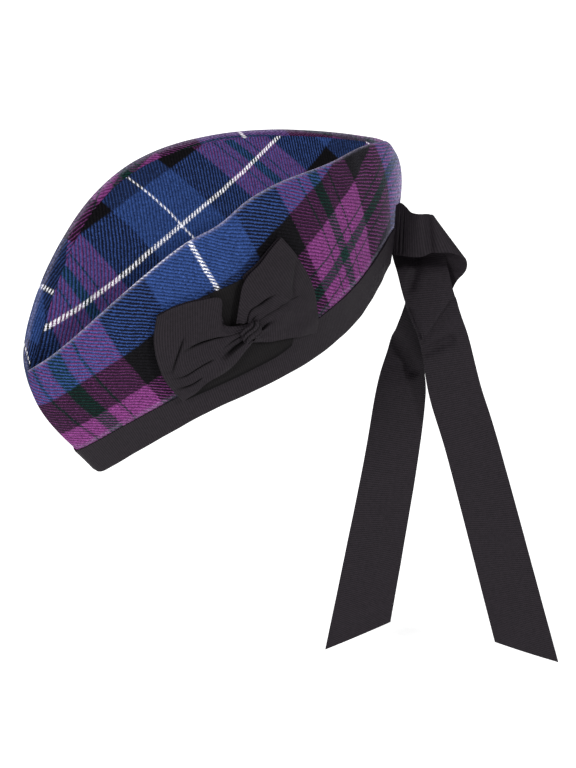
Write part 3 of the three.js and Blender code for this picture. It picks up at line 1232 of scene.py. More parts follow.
@dataclass
class SidePanel:
    """One wall of the cap: it starts behind the binding, rolls over the ridge and ends in the crown seam."""

    form: CapForm
    side: Side
    lay: Lay
    columns: int = 220
    wall_rows: int = 46
    roll_rows: int = 14
    hem_rows: int = 3
    hem: float = 3.0
    waves: tuple[Ripple, ...] = (
        Ripple(0.28, 61.0, 143.0, 0.4),
        Ripple(0.22, 37.0, -88.0, 2.1),
        Ripple(0.12, 19.0, 240.0, 1.2),
    )
    wave_sink: float = 0.45
    wave_from: float = -2.0
    wave_over: float = 14.0
    wave_top: float = 1.02
    wave_fade: float = 0.12
    still_ends: float = 0.5
    pucker: float = 0.3
    pucker_length: float = 11.0
    pucker_sink: float = 0.25
    pucker_rise: float = 3.0
    pucker_reach: float = 6.0
    pucker_from: float = 0.5
    pucker_over: float = 4.0
    hem_narrow: float = 12.0
    hem_least: float = 0.05
    skive: float = 2.5
    skive_least: float = 0.08
    roll_ends: float = 0.3
    crest_rise: float = 0.6
    crest_mark_width: float = 1.7
    crest_mark: float = 1.0
    seam_mark_reach: float = 8.0
    seam_mark: float = 0.6
    edge_rise: float = 1.0
    edge_mark_width: float = 1.2
    edge_mark: float = 0.2

    @property
    def name(self) -> str:
        """Return the piece's name."""
        return f"tartan_{self.node}"

    @property
    def node(self) -> str:
        """Return the CAD node that the panel stands for."""
        return f"side_{self.side.name.lower()}"

    def build(self, wool: Material) -> Piece:
        """Make the panel.

        Args:
            wool: The tartan.

        Returns:
            The panel's object.
        """
        form = self.form
        turn = form.turns(self.columns)[:, None]
        span = form.span(turn)
        wall_top = 1 - form.roll_below / span
        height = wall_top * np.linspace(0, 1, self.wall_rows)[None, :-1]
        wall = form.wall_point(turn, height)
        roll = self._roll(turn)
        face = np.concatenate([wall, roll], 1)
        steps = np.linalg.norm(np.diff(roll, axis=1), axis=-1)
        risen = np.concatenate([np.zeros((len(turn), 1)), np.cumsum(steps, 1)], 1)
        heights = np.concatenate([height, wall_top + risen / span], 1)
        rim_flat, ridge_flat = lay_flat(form.rim_point(turn[:, 0]), form.ridge_point(turn[:, 0]))
        share = heights[..., None]
        flat = rim_flat[:, None] * (1 - share) + ridge_flat[:, None] * share
        weave = self.lay.weave(flat, along_way=float(self.side.value))
        wear_and_highlight = self._wear_and_highlight(turn, heights, flat)
        face = face + grid_normals(face, False) * self._relief(turn, heights, flat)[..., None]
        drop = np.linspace(0, self.hem, self.hem_rows + 1)[1:]
        width = np.clip(np.abs(face[:, -1, 0]) / self.hem_narrow, self.hem_least, 1)
        lip = np.repeat(face[:, -1:], len(drop), 1)
        lip[..., 2] -= drop[None] * width[:, None]
        face = np.concatenate([face, lip], 1)
        weave = np.concatenate([weave, weave[:, -1:] + np.stack([0 * drop, drop], -1)[None]], 1)
        wear_and_highlight = np.pad(wear_and_highlight, ((0, 0), (0, len(drop))))
        thick = form.cloth * np.clip(np.abs(face[..., :1]) / self.skive, self.skive_least, 1)
        back = face - thick * grid_normals(face, False)
        for grid in (face, back):
            grid[..., 0] = np.maximum(grid[..., 0], form.gap / 2)
        if self.side is Side.RIGHT:
            face, back, weave, wear_and_highlight = (grid[::-1].copy() for grid in (face, back, weave, wear_and_highlight))
            face[..., 0] *= -1
            back[..., 0] *= -1
        sheet = ClothSheet(
            self.name, form.tilt(face), weave, form.cloth, back=form.tilt(back), wear_and_highlight=wear_and_highlight
        )
        piece = sheet.build(wool)
        dress(piece, self.node)
        return piece

    def _roll(self, turn: Grid) -> Grid:
        """Find the part that rolls over the ridge.

        Args:
            turn: Place of each column.

        Returns:
            Points from the wall's top over the crest to the crown seam.
        """
        form = self.form
        column = turn[:, 0]
        foot = form.wall_point(column, 1 - form.roll_below / form.span(column))
        above = form.roll_above * smooth(np.abs(np.sin(column)) / self.roll_ends)[:, None]
        crest = form.ridge_point(column) + above * form.wall_up(column, np.ones_like(column))
        seam = form.seam_point(column, far=self.side is Side.RIGHT)
        t = np.linspace(0, 1, self.roll_rows)[None, :, None]
        return foot[:, None] * (1 - t) ** 2 + crest[:, None] * 2 * t * (1 - t) + seam[:, None] * t**2

    def _wear_and_highlight(self, turn: Grid, heights: Grid, flat: Grid) -> Grid:
        """Find the pale mark, partly worn nap and partly a painted highlight: along the ridge, down the back
        seam and above the binding.

        Args:
            turn: Place of each column.
            heights: Share of the wall's height.
            flat: Flat places of the panel.

        Returns:
            Wear and painted highlight, from 0 to 1.
        """
        up = heights * self.form.span(turn)
        crest = self.form.span(turn) + self.crest_rise
        ridge = np.exp(-(((up - crest) / self.crest_mark_width) ** 2))
        seam = np.exp(-np.maximum(np.max(flat[..., 0], 0) - flat[..., 0], 0) / self.seam_mark_reach)
        edge = np.exp(-(((up - self.form.band_height - self.edge_rise) / self.edge_mark_width) ** 2))
        return np.clip(self.crest_mark * ridge + self.seam_mark * seam + self.edge_mark * edge, 0, 1)

    def _relief(self, turn: Grid, heights: Grid, flat: Grid) -> Grid:
        """Find how far the cloth stands off its even form: soft waves, and puckers above the binding.

        Args:
            turn: Place of each column.
            heights: Share of the wall's height.
            flat: Flat places of the panel.

        Returns:
            Height off the form.
        """
        up = heights * self.form.span(turn) - self.form.band_height
        waves = ripples(self.waves, flat[..., 0], flat[..., 1]) - self.wave_sink
        ends = smooth(np.abs(np.sin(turn)) / self.still_ends)
        top = smooth((self.wave_top - heights) / self.wave_fade)
        waves = waves * (smooth((up - self.wave_from) / self.wave_over) * top)
        near_band = np.exp(-(((up - self.pucker_rise) / self.pucker_reach) ** 2))
        folds = np.sin(2 * math.pi * flat[..., 0] / self.pucker_length)
        puckers = self.pucker * near_band * folds - self.pucker_sink * near_band
        return ends * (waves + puckers * smooth((up - self.pucker_from) / self.pucker_over))


@dataclass
class CrownPanel:
    """The folded crown between the two rolled ridges."""

    form: CapForm
    lay: Lay
    columns: int = 220
    rows: int = 72
    front: float = 0.015
    back: float = 0.028
    hem: float = 3.0
    hem_rows: int = 3
    hem_narrow: float = 12.0
    hem_least: float = 0.05
    skive_rows: int = 4
    skive_least: float = 0.15
    still_seams: float = 0.25
    still_ends: float = 0.6
    waves: tuple[Ripple, ...] = (
        Ripple(0.5, 83.0, 160.0, 0.9),
        Ripple(0.3, 47.0, -71.0, 2.6),
    )

    def build(self, wool: Material) -> Piece:
        """Make the crown.

        Args:
            wool: The tartan.

        Returns:
            The crown's object.
        """
        form = self.form
        turn = form.turns(self.columns, self.front, 1 - self.back)[:, None]
        across = np.linspace(1, 0, self.rows + 1)[None]
        face = form.crown_point(turn, across)
        column = turn[:, 0]
        crease_flat, seam_flat = lay_flat(form.crown_point(column, 0.5), form.crown_point(column, 1.0))
        steps = np.linalg.norm(np.diff(face, axis=1), axis=-1)
        along = np.concatenate([np.zeros((len(column), 1)), np.cumsum(steps, 1)], 1)
        middle = self.rows // 2
        out = np.abs(along / along[:, middle : middle + 1] - 1)[..., None]
        flat = crease_flat[:, None] * (1 - out) + seam_flat[:, None] * out
        inner = smooth((1 - np.abs(2 * across - 1)) / self.still_seams)
        inner = inner * smooth(np.abs(np.sin(turn)) / self.still_ends)
        sway = ripples(self.waves, flat[..., 0], np.sign(face[..., 0]) * flat[..., 1])
        face = face + grid_normals(face, False) * (inner * sway)[..., None]
        drop = np.linspace(0, self.hem, self.hem_rows + 1)[1:]
        face, flat = self._turn_down(face, flat, drop)
        edge = np.minimum(np.arange(face.shape[1]), np.arange(face.shape[1])[::-1])
        thick = form.cloth * np.clip((edge - self.hem_rows) / self.skive_rows, self.skive_least, 1)
        back = face - thick[None, :, None] * grid_normals(face, False)
        sheet = ClothSheet(
            "tartan_crown",
            form.tilt(face),
            self.lay.weave(flat),
            form.cloth,
            back=form.tilt(back),
            second_weave=self.lay.weave(flat, across_way=-1.0),
            split_row=self.rows // 2 + self.hem_rows,
        )
        piece = sheet.build(wool)
        dress(piece, "crown_top")
        return piece

    def _turn_down(self, face: Grid, flat: Grid, drop: Grid) -> tuple[Grid, Grid]:
        """Turn both long edges down into the seam.

        Args:
            face: The crown's points.
            flat: Their flat places.
            drop: Depth of each row of the turned edge.

        Returns:
            The points and flat places with the turned edges added.
        """
        half = np.clip(np.abs(face[:, :1, 0]) / self.hem_narrow, self.hem_least, 1)
        lips = []
        for edge in (0, -1):
            lip = np.repeat(face[:, [edge]], len(drop), 1)
            lip[..., 2] -= drop[None] * half
            lips.append(lip)
        flats = []
        for edge, inner in ((0, 1), (-1, -2)):
            way = flat[:, [edge]] - flat[:, [inner]]
            way = way / np.maximum(np.linalg.norm(way, axis=-1, keepdims=True), 1e-6)
            flats.append(flat[:, [edge]] + way * drop[None, :, None])
        face = np.concatenate([lips[0][:, ::-1], face, lips[1]], 1)
        return face, np.concatenate([flats[0][:, ::-1], flat, flats[1]], 1)


@dataclass
class RimBinding:
    """Ribbon folded over the rim, inside and out, sewn in one ring."""

    form: CapForm
    ribbon: float = 0.9
    columns: int = 220
    leaf_rows: int = 12
    fold_rows: int = 10
    fold_round: float = 0.75
    stand_off: float = 0.05
    sway_share: float = 0.6
    still_ends: float = 0.5
    sway: tuple[Ripple, ...] = (Ripple(0.22, 53.0, 400.0, 0.3), Ripple(0.16, 23.0, -300.0, 1.9))

    def build(self, ribbon: Material) -> Piece:
        """Make the binding.

        Args:
            ribbon: The black ribbon.

        Returns:
            The binding's object.
        """
        form = self.form
        half = form.turns(self.columns)[:-1]
        turn = np.concatenate([half, half + math.pi])[:, None]
        outside, inside = form.gap + self.ribbon, form.cloth + form.gap + self.ribbon
        leaf = np.linspace(1, 0, self.leaf_rows)
        bend = np.linspace(0, math.pi, self.fold_rows + 2)[1:-1]
        radius, middle = (outside + inside) / 2, (outside - inside) / 2
        rise = leaf * form.band_height
        up = np.concatenate([rise, -self.fold_round * radius * np.sin(bend), rise[::-1]])
        outer, inner = np.full(self.leaf_rows, outside), np.full(self.leaf_rows, -inside)
        off = np.concatenate([outer, middle + radius * np.cos(bend), inner])
        span = form.span(turn)
        low = 1 - form.rim_lift(turn) / form.band_height
        height = low * np.maximum(up, 0)[None] / span
        wall = form.wall_point(turn, height)
        steps = np.linalg.norm(np.diff(wall[:, 0], axis=0), axis=-1)
        around = np.concatenate([[0], np.cumsum(steps)])[:, None]
        ease = np.where(off > 0, 1.0, 0.0)[None] * smooth(np.abs(np.sin(turn)) / self.still_ends)
        sway = ripples(self.sway, around, up[None]) * self.sway_share + self.stand_off
        stand = off[None] + ease * sway
        face = wall + form.wall_out(turn, height) * stand[..., None]
        face = face + form.wall_up(turn, 0 * height) * np.minimum(up, 0)[None, :, None]
        path = np.concatenate([[0], np.cumsum(np.hypot(np.diff(up), np.diff(off)))])
        full = float(around[-1, 0] + np.linalg.norm(wall[0, 0] - wall[-1, 0]))
        long = np.concatenate([around, [[full]]])
        weave = np.stack(np.broadcast_arrays(long, path[None]), -1)
        # Rows are taken from the inside out, which turns the face outwards.
        sheet = ClothSheet("rim_binding", form.tilt(face)[:, ::-1], weave[:, ::-1], self.ribbon, ring=True)
        piece = sheet.build(ribbon)
        dress(piece, "band")
        return piece


@dataclass(frozen=True)
class BowRow:
    """A section of the bow's base across its ribbon: its two edges from the knot, and its end curve."""

    up_aft: float
    up: float
    down_aft: float
    down: float
    bulge: float


@dataclass(frozen=True)
class Station:
    """A place on a loop of the bow: aft and up from the knot along the wall, and its height off the cloth."""

    aft: float
    up: float
    lift: float


@dataclass(frozen=True)
class Crease:
    """A crease along a loop: its place across at both ends, where it starts and stops, step, groove and
    painted shade.
    """

    near: float
    far: float
    start: float
    stop: float
    step: float
    groove: float = 0.0
    width: float = 0.014
    reach: float = 0.16
    fade_in: float = 0.08
    fade_out: float = 0.24
    shade_width: float = 1.8
    shade_depth: float = 3.0

    def drop(self, out: Grid, across: Grid) -> Grid:
        """Find how far the ribbon drops beside the crease.

        Args:
            out: Share of the loop's length, from the knot.
            across: Share of the ribbon's width, from its upper edge.

        Returns:
            Depth at each place.
        """
        away, fade = self._beside(out, across)
        ledge = abs(self.step) * (1 + np.tanh(away / self.width)) / 2
        ledge = ledge * np.exp(-np.maximum(away, 0) / self.reach)
        return fade * (ledge + self.groove * np.exp(-((away / self.width) ** 2)))

    def shade(self, out: Grid, across: Grid) -> Grid:
        """Find how much painted shade the ribbon takes beside the crease.

        Args:
            out: Share of the loop's length, from the knot.
            across: Share of the ribbon's width, from its upper edge.

        Returns:
            Painted shade, 1 at the bottom of a deep crease and 0 away from it.
        """
        away, fade = self._beside(out, across)
        deep = min((self.groove + abs(self.step) / 2) / self.shade_depth, 1)
        return fade * deep * np.exp(-((away / (self.shade_width * self.width)) ** 2))

    def _beside(self, out: Grid, across: Grid) -> tuple[Grid, Grid]:
        """Find where places lie beside the crease.

        Args:
            out: Share of the loop's length, from the knot.
            across: Share of the ribbon's width, from its upper edge.

        Returns:
            Distance from the crease towards its lower side, and how much of the crease there is.
        """
        share = np.clip((out - self.start) / (self.stop - self.start), 0, 1)
        line = self.near + (self.far - self.near) * share
        begun = smooth((out - self.start + self.fade_in / 2) / self.fade_in)
        ended = smooth((out - self.stop + self.fade_out / 2) / self.fade_out)
        return (across - line) * (1 if self.step >= 0 else -1), begun * (1 - ended)


@dataclass(frozen=True)
class BowPlace:
    """Where the bow sits on the left wall."""

    form: CapForm
    turn: float = 1.415
    height: float = 0.356
    aft_scale: float = 132.5
    up_scale: float = 114.1
    band_ribbon: float = 1.0
    band_clear: float = 1.0
    band_ease: float = 11.0

    def on_wall(self, aft: Grid, up: Grid, off: Grid) -> Grid:
        """Find points by their distance from the knot.

        Args:
            aft: Distance towards the back.
            up: Distance towards the ridge.
            off: Height off the cloth.

        Returns:
            Points in the cap's frame.
        """
        form = self.form
        turn = self.turn + aft / self.aft_scale
        height = self.height + up / self.up_scale
        above = height * form.span(turn) - form.band_height
        over = 1 - smooth((above - self.band_clear) / self.band_ease)
        stand = form.gap + over * (self.band_ribbon + 2 * form.gap)
        return form.wall_point(turn, height) + form.wall_out(turn, height) * (stand + off)[..., None]


@dataclass
class BowLoop:
    """One loop of the bow: ribbon gathered at the knot, folded at its outer end and brought back under."""

    name: str
    node: str
    place: BowPlace
    net: tuple[tuple[Station, ...], ...]
    creases: tuple[Crease, ...]
    aft: bool
    ribbon: float = 0.7
    base: float = 1.5
    front_steps: int = 110
    fold_steps: int = 8
    under_steps: int = 24
    cross_steps: int = 230
    under_end: float = 0.5
    gather: float = 0.55
    gather_count: float = 5.5
    gather_reach: float = 0.2
    wave_length: float = 50.0
    wave_width: float = 60.0
    wave_from: float = 0.3
    hollow: float = 0.4
    least_area: float = 0.3
    waves: tuple[Ripple, ...] = (Ripple(0.3, 23.0, 41.0, 0.7), Ripple(0.2, 13.0, -29.0, 2.2))

    def build(self, ribbon: Material) -> Piece:
        """Make the loop.

        Args:
            ribbon: The black ribbon.

        Returns:
            The loop's object.
        """
        v = np.linspace(0, 1, self.cross_steps + 1)
        out = np.linspace(0, 1, self.front_steps + 1)
        upper = self._surface(out, v)
        lift = self._relief(out[:, None], v[None], upper[..., 2])
        ends = upper[-1]
        radius = (lift[-1] - self.base) / 2
        bend = np.linspace(0, math.pi, self.fold_steps + 2)[1:-1, None]
        fold_aft = ends[:, 0] + (1.0 if self.aft else -1.0) * radius * np.sin(bend)
        fold_off = self.base + radius + radius * np.cos(bend)
        under = self._surface(np.linspace(1, self.under_end, self.under_steps), v)
        aft = np.concatenate([upper[..., 0], fold_aft, under[..., 0]])
        up = np.concatenate([upper[..., 1], np.repeat(ends[None, :, 1], self.fold_steps, 0), under[..., 1]])
        off = np.concatenate([lift, fold_off, np.full(under.shape[:2], self.base)])
        face = self.place.on_wall(aft, up, off)
        # Painted shade: the upper layer is darkened along its creases.
        painted_crease_shade = np.zeros(face.shape[:2])
        shades = [crease.shade(out[:, None], v[None]) for crease in self.creases]
        painted_crease_shade[: len(out)] = np.clip(sum(shades), 0, 1)
        if self.aft:
            face, painted_crease_shade = face[:, ::-1], painted_crease_shade[:, ::-1]
        steps = np.linalg.norm(np.diff(face, axis=0), axis=-1).mean(1)
        long = np.concatenate([[0], np.cumsum(steps)])[:, None]
        edge = face[self.front_steps]
        width = float(np.linalg.norm(np.diff(edge, axis=0), axis=-1).sum())
        weave = np.stack(np.broadcast_arrays(long, v[None] * width), -1)
        sheet = ClothSheet(self.name, self.place.form.tilt(face), weave, self.ribbon, painted_crease_shade=painted_crease_shade)
        piece = sheet.build(ribbon)
        dress(piece, self.node)
        return piece

    def _surface(self, out: Grid, across: Grid) -> Grid:
        """Draw the loop through its net of stations.

        Args:
            out: Shares of the loop's length, from the knot.
            across: Shares of the ribbon's width, from its upper edge.

        Returns:
            Aft, up and lift at each crossing of the two.
        """
        net = [[(place.aft, place.up, place.lift) for place in column] for column in self.net]
        along = hermite(net, out).swapaxes(0, 1)
        return hermite(along, across).swapaxes(0, 1)

    def _relief(self, out: Grid, across: Grid, lift: Grid) -> Grid:
        """Work gathers, creases and soft waves into the upper layer.

        Args:
            out: Share of the loop's length, from the knot.
            across: Share of the ribbon's width, from its upper edge.
            lift: Height of the even layer.

        Returns:
            Its height, always clear of the layer under it.
        """
        gathers = np.exp(-out / self.gather_reach) * np.cos(2 * math.pi * self.gather_count * across)
        soft = ripples(self.waves, out * self.wave_length, across * self.wave_width)
        soft = soft * smooth(out / self.wave_from)
        drops = sum((crease.drop(out, across) for crease in self.creases), np.zeros_like(lift))
        risen = lift + self.gather * gathers + soft - drops
        return np.maximum(risen, self.base + self.ribbon + self.hollow)


@dataclass
class BowBacking:
    """The wide ribbon under the bow, folded flat and sewn to the wall."""

    place: BowPlace
    rows: tuple[BowRow, ...]
    ribbon: float = 0.8
    long_steps: int = 110
    cross_steps: int = 60
    edge_lift: float = 1.1
    edge_from: float = 0.88
    edge_over: float = 0.12
    shade_from: float = 0.955
    shade_over: float = 0.03
    softness: float = 0.5
    waves: tuple[Ripple, ...] = (Ripple(0.12, 37.0, 53.0, 0.2), Ripple(0.1, 17.0, -31.0, 1.4))

    def build(self, ribbon: Material) -> Piece:
        """Make the backing.

        Args:
            ribbon: The black ribbon.

        Returns:
            The backing's object.
        """
        u = np.linspace(0, 1, self.long_steps + 1)[:, None]
        v = np.linspace(1, 0, self.cross_steps + 1)[None]

        def column(name: str) -> Grid:
            """Return one column of the table along the ribbon."""
            return hermite([getattr(row, name) for row in self.rows], u)

        aft = column("up_aft") * (1 - v) + column("down_aft") * v - column("bulge") * 4 * v * (1 - v)
        up = column("up") * (1 - v) + column("down") * v
        aft, up = np.broadcast_arrays(aft, up)
        soft = np.abs(ripples(self.waves, aft, up))
        lifted = self.edge_lift * smooth((v - self.edge_from) / self.edge_over)
        face = self.place.on_wall(aft, up, self.ribbon + soft * self.softness + lifted)
        weave = np.stack([aft, up], -1)
        # Painted shade: a dark line along the backing's lower edge, where the edge shades the band.
        painted_crease_shade = np.broadcast_to(smooth((v - self.shade_from) / self.shade_over), aft.shape)
        sheet = ClothSheet("bow_base_ribbon", self.place.form.tilt(face), weave, self.ribbon, painted_crease_shade=painted_crease_shade)
        piece = sheet.build(ribbon)
        dress(piece, "bow_backing")
        return piece


@dataclass
class BowKnot:
    """The ribbon twisted round the middle of the bow, scrunched into slanting folds."""

    place: BowPlace
    name: str = "bow_knot_ribbon"
    aft: float = 0.5
    up: float = 2.0
    half_length: float = 7.0
    half_width: float = 6.4
    height: float = 6.6
    squareness: float = 0.66
    lowest: float = 2.6
    folds: float = 3.0
    fold_start: float = 0.4
    fold_round: float = 0.7
    fold_depth: float = 0.42
    fold_low: float = 0.6
    slant: float = -0.5
    twist: float = 0.4
    twist_turn: float = 3.0
    twist_start: float = 1.0
    pinch: float = 0.22
    pinch_reach: float = 0.4
    shade: float = 1.3
    shade_curve: float = 1.5
    fill: float = 0.8
    around: int = 96
    over: int = 48

    def build(self, ribbon: Material) -> Piece:
        """Make the knot.

        Args:
            ribbon: The black ribbon.

        Returns:
            The knot's object.
        """
        bpy.ops.object.select_all(action="DESELECT")
        bpy.ops.mesh.primitive_uv_sphere_add(segments=self.around, ring_count=self.over, radius=1.0)
        ball = bpy.context.active_object
        mesh = ball.data
        mesh.name = self.name
        ball.name = self.name
        count = len(mesh.vertices)
        unit = np.zeros(count * 3, np.float32)
        mesh.vertices.foreach_get("co", unit)
        unit = unit.reshape(-1, 3).astype(float)
        square = np.sign(unit) * np.abs(unit) ** self.squareness
        twist = 1 - self.twist + self.twist * np.sin(self.twist_turn * unit[:, 2] + self.twist_start)
        lean = square[:, 1] + self.slant * square[:, 0] * twist
        crest = np.abs(np.sin(math.pi * self.folds / 2 * lean + self.fold_start)) ** self.fold_round
        swell = 1 - self.fold_depth * (1 - crest) * np.clip(unit[:, 2] + self.fold_low, 0, 1)
        middle = np.exp(-((square[:, 0] / self.pinch_reach) ** 2))
        pinch = 1 - self.pinch * middle * np.abs(square[:, 1])
        aft = self.aft + self.half_length * square[:, 0] * swell
        up = self.up + self.half_width * square[:, 1] * swell * pinch
        off = self.lowest + self.height / 2 * (1 + square[:, 2] * swell)
        points = self.place.form.tilt(self.place.on_wall(aft, up, off)) * MM
        mesh.vertices.foreach_set("co", points.astype(np.float32).ravel())
        self._map(mesh, aft, up)
        # Painted shade: the knot's ribbon is darkened in the hollows between its folds.
        mark = mesh.attributes.new(PAINTED_CREASE_SHADE, "FLOAT", "POINT")
        painted_crease_shade = np.clip(self.shade * (1 - crest) ** self.shade_curve, 0, 1)
        mark.data.foreach_set("value", painted_crease_shade.astype(np.float32))
        mesh.materials.append(ribbon)
        bpy.ops.object.mode_set(mode="EDIT")
        bpy.ops.mesh.select_all(action="SELECT")
        bpy.ops.mesh.normals_make_consistent(inside=False)
        bpy.ops.object.mode_set(mode="OBJECT")
        bpy.ops.object.shade_smooth()
        dress(ball, "bow_knot")
        return ball

    def _map(self, mesh: Mesh, aft: Grid, up: Grid) -> None:
        """Set the weave map of the knot.

        Args:
            mesh: The knot's mesh.
            aft: Place of each corner towards the back.
            up: Place of each corner towards the ridge.
        """
        while mesh.uv_layers:
            mesh.uv_layers.remove(mesh.uv_layers[0])
        layer = mesh.uv_layers.new(name=WEAVE_MAP)
        index = np.zeros(len(mesh.loops), np.int32)
        mesh.loops.foreach_get("vertex_index", index)
        layer.data.foreach_set("uv", np.stack([aft[index], up[index]], -1).astype(np.float32).ravel())


@dataclass(frozen=True)
class TailRow:
    """A section of a tail: its two edges, out from the back seam, up, and towards the wearer's left."""

    out1: float
    z1: float
    near1: float
    out2: float
    z2: float
    near2: float


@dataclass(frozen=True)
class Fold:
    """A fold across a hanging ribbon: its two ends, out and up, and the ledge and groove beside it."""

    out1: float
    z1: float
    out2: float
    z2: float
    ledge: float = 0.0
    groove: float = 0.0
    width: float = 0.8
    reach: float = 9.0
    beyond: float = 2.0
    fade: float = 6.0

    def drop(self, out: Grid, z: Grid) -> Grid:
        """Find how far the ribbon drops beside the fold.

        Args:
            out: Distance out from the back seam.
            z: Height from the tails' place.

        Returns:
            Depth at each place.
        """
        length = math.hypot(self.out2 - self.out1, self.z2 - self.z1)
        c, s = (self.out2 - self.out1) / length, (self.z2 - self.z1) / length
        along = (out - self.out1) * c + (z - self.z1) * s
        away = (out - self.out1) * s - (z - self.z1) * c
        begun = smooth((along + self.beyond) / self.fade)
        ends = begun * smooth((length - along + self.beyond) / self.fade)
        ledge = self.ledge * (1 + np.tanh(away / self.width)) / 2 * np.exp(-np.maximum(away, 0) / self.reach)
        return ends * (ledge + self.groove * np.exp(-((away / self.width) ** 2)))


@dataclass
class RibbonTail:
    """One of the ribbon tails that hang from the back seam."""

    name: str
    node: str
    rows: tuple[TailRow, ...]
    folds: tuple[Fold, ...]
    place: tuple[float, float, float] = (0.0, 118.0, 70.0)
    turn: float = math.radians(58.6)
    ribbon: float = 0.7
    long_steps: int = 300
    cross_steps: int = 30
    curl: float = 0.8
    free_from: float = 95.0
    free_over: float = 60.0
    waves: tuple[Ripple, ...] = (
        Ripple(0.45, 74.0, 160.0, 0.3),
        Ripple(0.25, 31.0, -90.0, 1.1),
    )

    def build(self, ribbon: Material) -> Piece:
        """Make the tail.

        Args:
            ribbon: The black ribbon.

        Returns:
            The tail's object.
        """
        u = np.linspace(0, 1, self.long_steps + 1)
        edges = []
        for edge in ("1", "2"):
            out, z, near = (
                hermite([getattr(row, name + edge) for row in self.rows], u) for name in ("out", "z", "near")
            )
            edges.append(np.stack([out, -near, z], -1))
        v = np.linspace(0, 1, self.cross_steps + 1)[None, :, None]
        face = edges[0][:, None] * (1 - v) + edges[1][:, None] * v
        steps = np.linalg.norm(np.diff(face, axis=0), axis=-1).mean(1)
        long = np.concatenate([[0], np.cumsum(steps)])[:, None]
        width = float(np.median(np.linalg.norm(edges[0] - edges[1], axis=-1)))
        across = v[..., 0] * width
        free = smooth((long - self.free_from) / self.free_over)
        relief = ripples(self.waves, long, across) * free
        relief = relief + self.curl * free * (1 - (2 * v[..., 0] - 1) ** 2)
        drops = sum((fold.drop(face[..., 0], face[..., 2]) for fold in self.folds), np.zeros(face.shape[:2]))
        face = face + grid_normals(face, False) * relief[..., None]
        face[..., 1] += drops
        c, s = math.cos(self.turn), math.sin(self.turn)
        x, y, z = face[..., 0], face[..., 1], face[..., 2]
        placed = np.stack([c * x - s * y, s * x + c * y, z], -1) + np.array(self.place)
        weave = np.stack(np.broadcast_arrays(long, across), -1)
        sheet = ClothSheet(self.name, placed, weave, self.ribbon)
        piece = sheet.build(ribbon)
        dress(piece, self.node)
        return piece


@dataclass(frozen=True)
class Lamp:
    """A broad lamp: the way to it, from the wearer's left to the back, its rise, softness and power."""

    name: str
    turn: float
    rise: float
    softness: float
    power: float


@dataclass
class Studio:
    """Floor, soft lights and the camera at the picture's angle."""

    lamps: tuple[Lamp, ...] = (
        Lamp("left_softbox", 14.0, 30.0, 7.0, 1.56),
        Lamp("front_softbox", -68.0, 20.0, 16.0, 1.6),
    )
    lamp_distance: float = 2.0
    room: float = 0.35
    room_colour: str = "#ffffff"
    view_turn: float = math.radians(31.4)
    view_rise: float = math.radians(16.82)
    view_distance: float = 1687.5
    focal_px: float = 2653.9
    frame_px: tuple[float, float] = (576.0, 768.0)
    origin_px: tuple[float, float] = (238.16, 346.26)
    sensor: float = 36.0
    clip: tuple[float, float] = (0.05, 60.0)
    floor_size: float = 24.0
    floor_drop: float = 9.0

    def build(self) -> None:
        """Set the floor, the lights and the camera."""
        self._floor()
        self._lights()
        self._camera()
        LOG.info("studio is set")

    def _floor(self) -> None:
        """Lay the floor just under the tails."""
        lowest = CAD_BOX[0].z - self.floor_drop * MM
        bpy.ops.object.select_all(action="DESELECT")
        bpy.ops.mesh.primitive_plane_add(size=self.floor_size, location=(0, 0, lowest))
        floor = bpy.context.active_object
        floor.name = "studio_floor"
        floor.data.materials.append(LightTable().material())

    def _lights(self) -> None:
        """Hang two soft broad lights in a white room, one at the cap's left and one in front."""
        world = bpy.data.worlds.new("white_room")
        world.use_nodes = True
        world.node_tree.nodes.clear()
        sky = add_node(
            world.node_tree,
            "ShaderNodeBackground",
            values={"Color": linear(self.room_colour), "Strength": self.room},
        )
        add_node(world.node_tree, "ShaderNodeOutputWorld", links={0: sky.outputs[0]})
        bpy.context.scene.world = world
        bpy.context.scene.view_settings.view_transform = "Standard"
        for row in self.lamps:
            lamp = bpy.data.lights.new(row.name, "SUN")
            lamp.energy = row.power
            lamp.angle = math.radians(row.softness)
            light = bpy.data.objects.new(row.name, lamp)
            bpy.context.scene.collection.objects.link(light)
            turn, rise = math.radians(row.turn), math.radians(row.rise)
            level = math.cos(rise)
            towards = Vector((math.cos(turn) * level, math.sin(turn) * level, math.sin(rise)))
            light.location = towards * self.lamp_distance
            light.rotation_euler = (-towards).to_track_quat("-Z", "Y").to_euler()

    def _camera(self) -> None:
        """Set the camera where the picture was taken from."""
        a, e = self.view_turn, self.view_rise
        back = Vector((math.cos(a) * math.cos(e), -math.sin(a) * math.cos(e), math.sin(e)))
        right = Vector((math.sin(a), math.cos(a), 0))
        up = back.cross(right)
        width, height = self.frame_px
        aside = (width / 2 - self.origin_px[0]) / self.focal_px
        rise = (self.origin_px[1] - height / 2) / self.focal_px
        ahead = -back + right * aside + up * rise
        lens = bpy.data.cameras.new("picture_camera")
        lens.sensor_width = self.sensor
        lens.lens = self.focal_px * self.sensor / max(self.frame_px)
        lens.clip_start, lens.clip_end = self.clip
        camera = bpy.data.objects.new("picture_camera", lens)
        bpy.context.scene.collection.objects.link(camera)
        camera.location = back * self.view_distance * MM
        camera.rotation_mode = "QUATERNION"
        camera.rotation_quaternion = ahead.to_track_quat("-Z", "Y")
        bpy.context.scene.camera = camera


SIDE_WOOL = TartanWool()
# The crown is cut the other way of the cloth, so its broad white line runs lengthways.
CROWN_WOOL = replace(
    SIDE_WOOL,
    warp_pitch=0.84,
    weft_pitch=0.9,
    sett_along=(Stripe(Thread.WHITE, 0.7), *SIDE_WOOL.sett_along[1:]),
    sett_across=(Stripe(Thread.WHITE, 1.3), *SIDE_WOOL.sett_across[1:]),
    mingle=0.18,
    name="worsted_wool_tartan_crown",
)
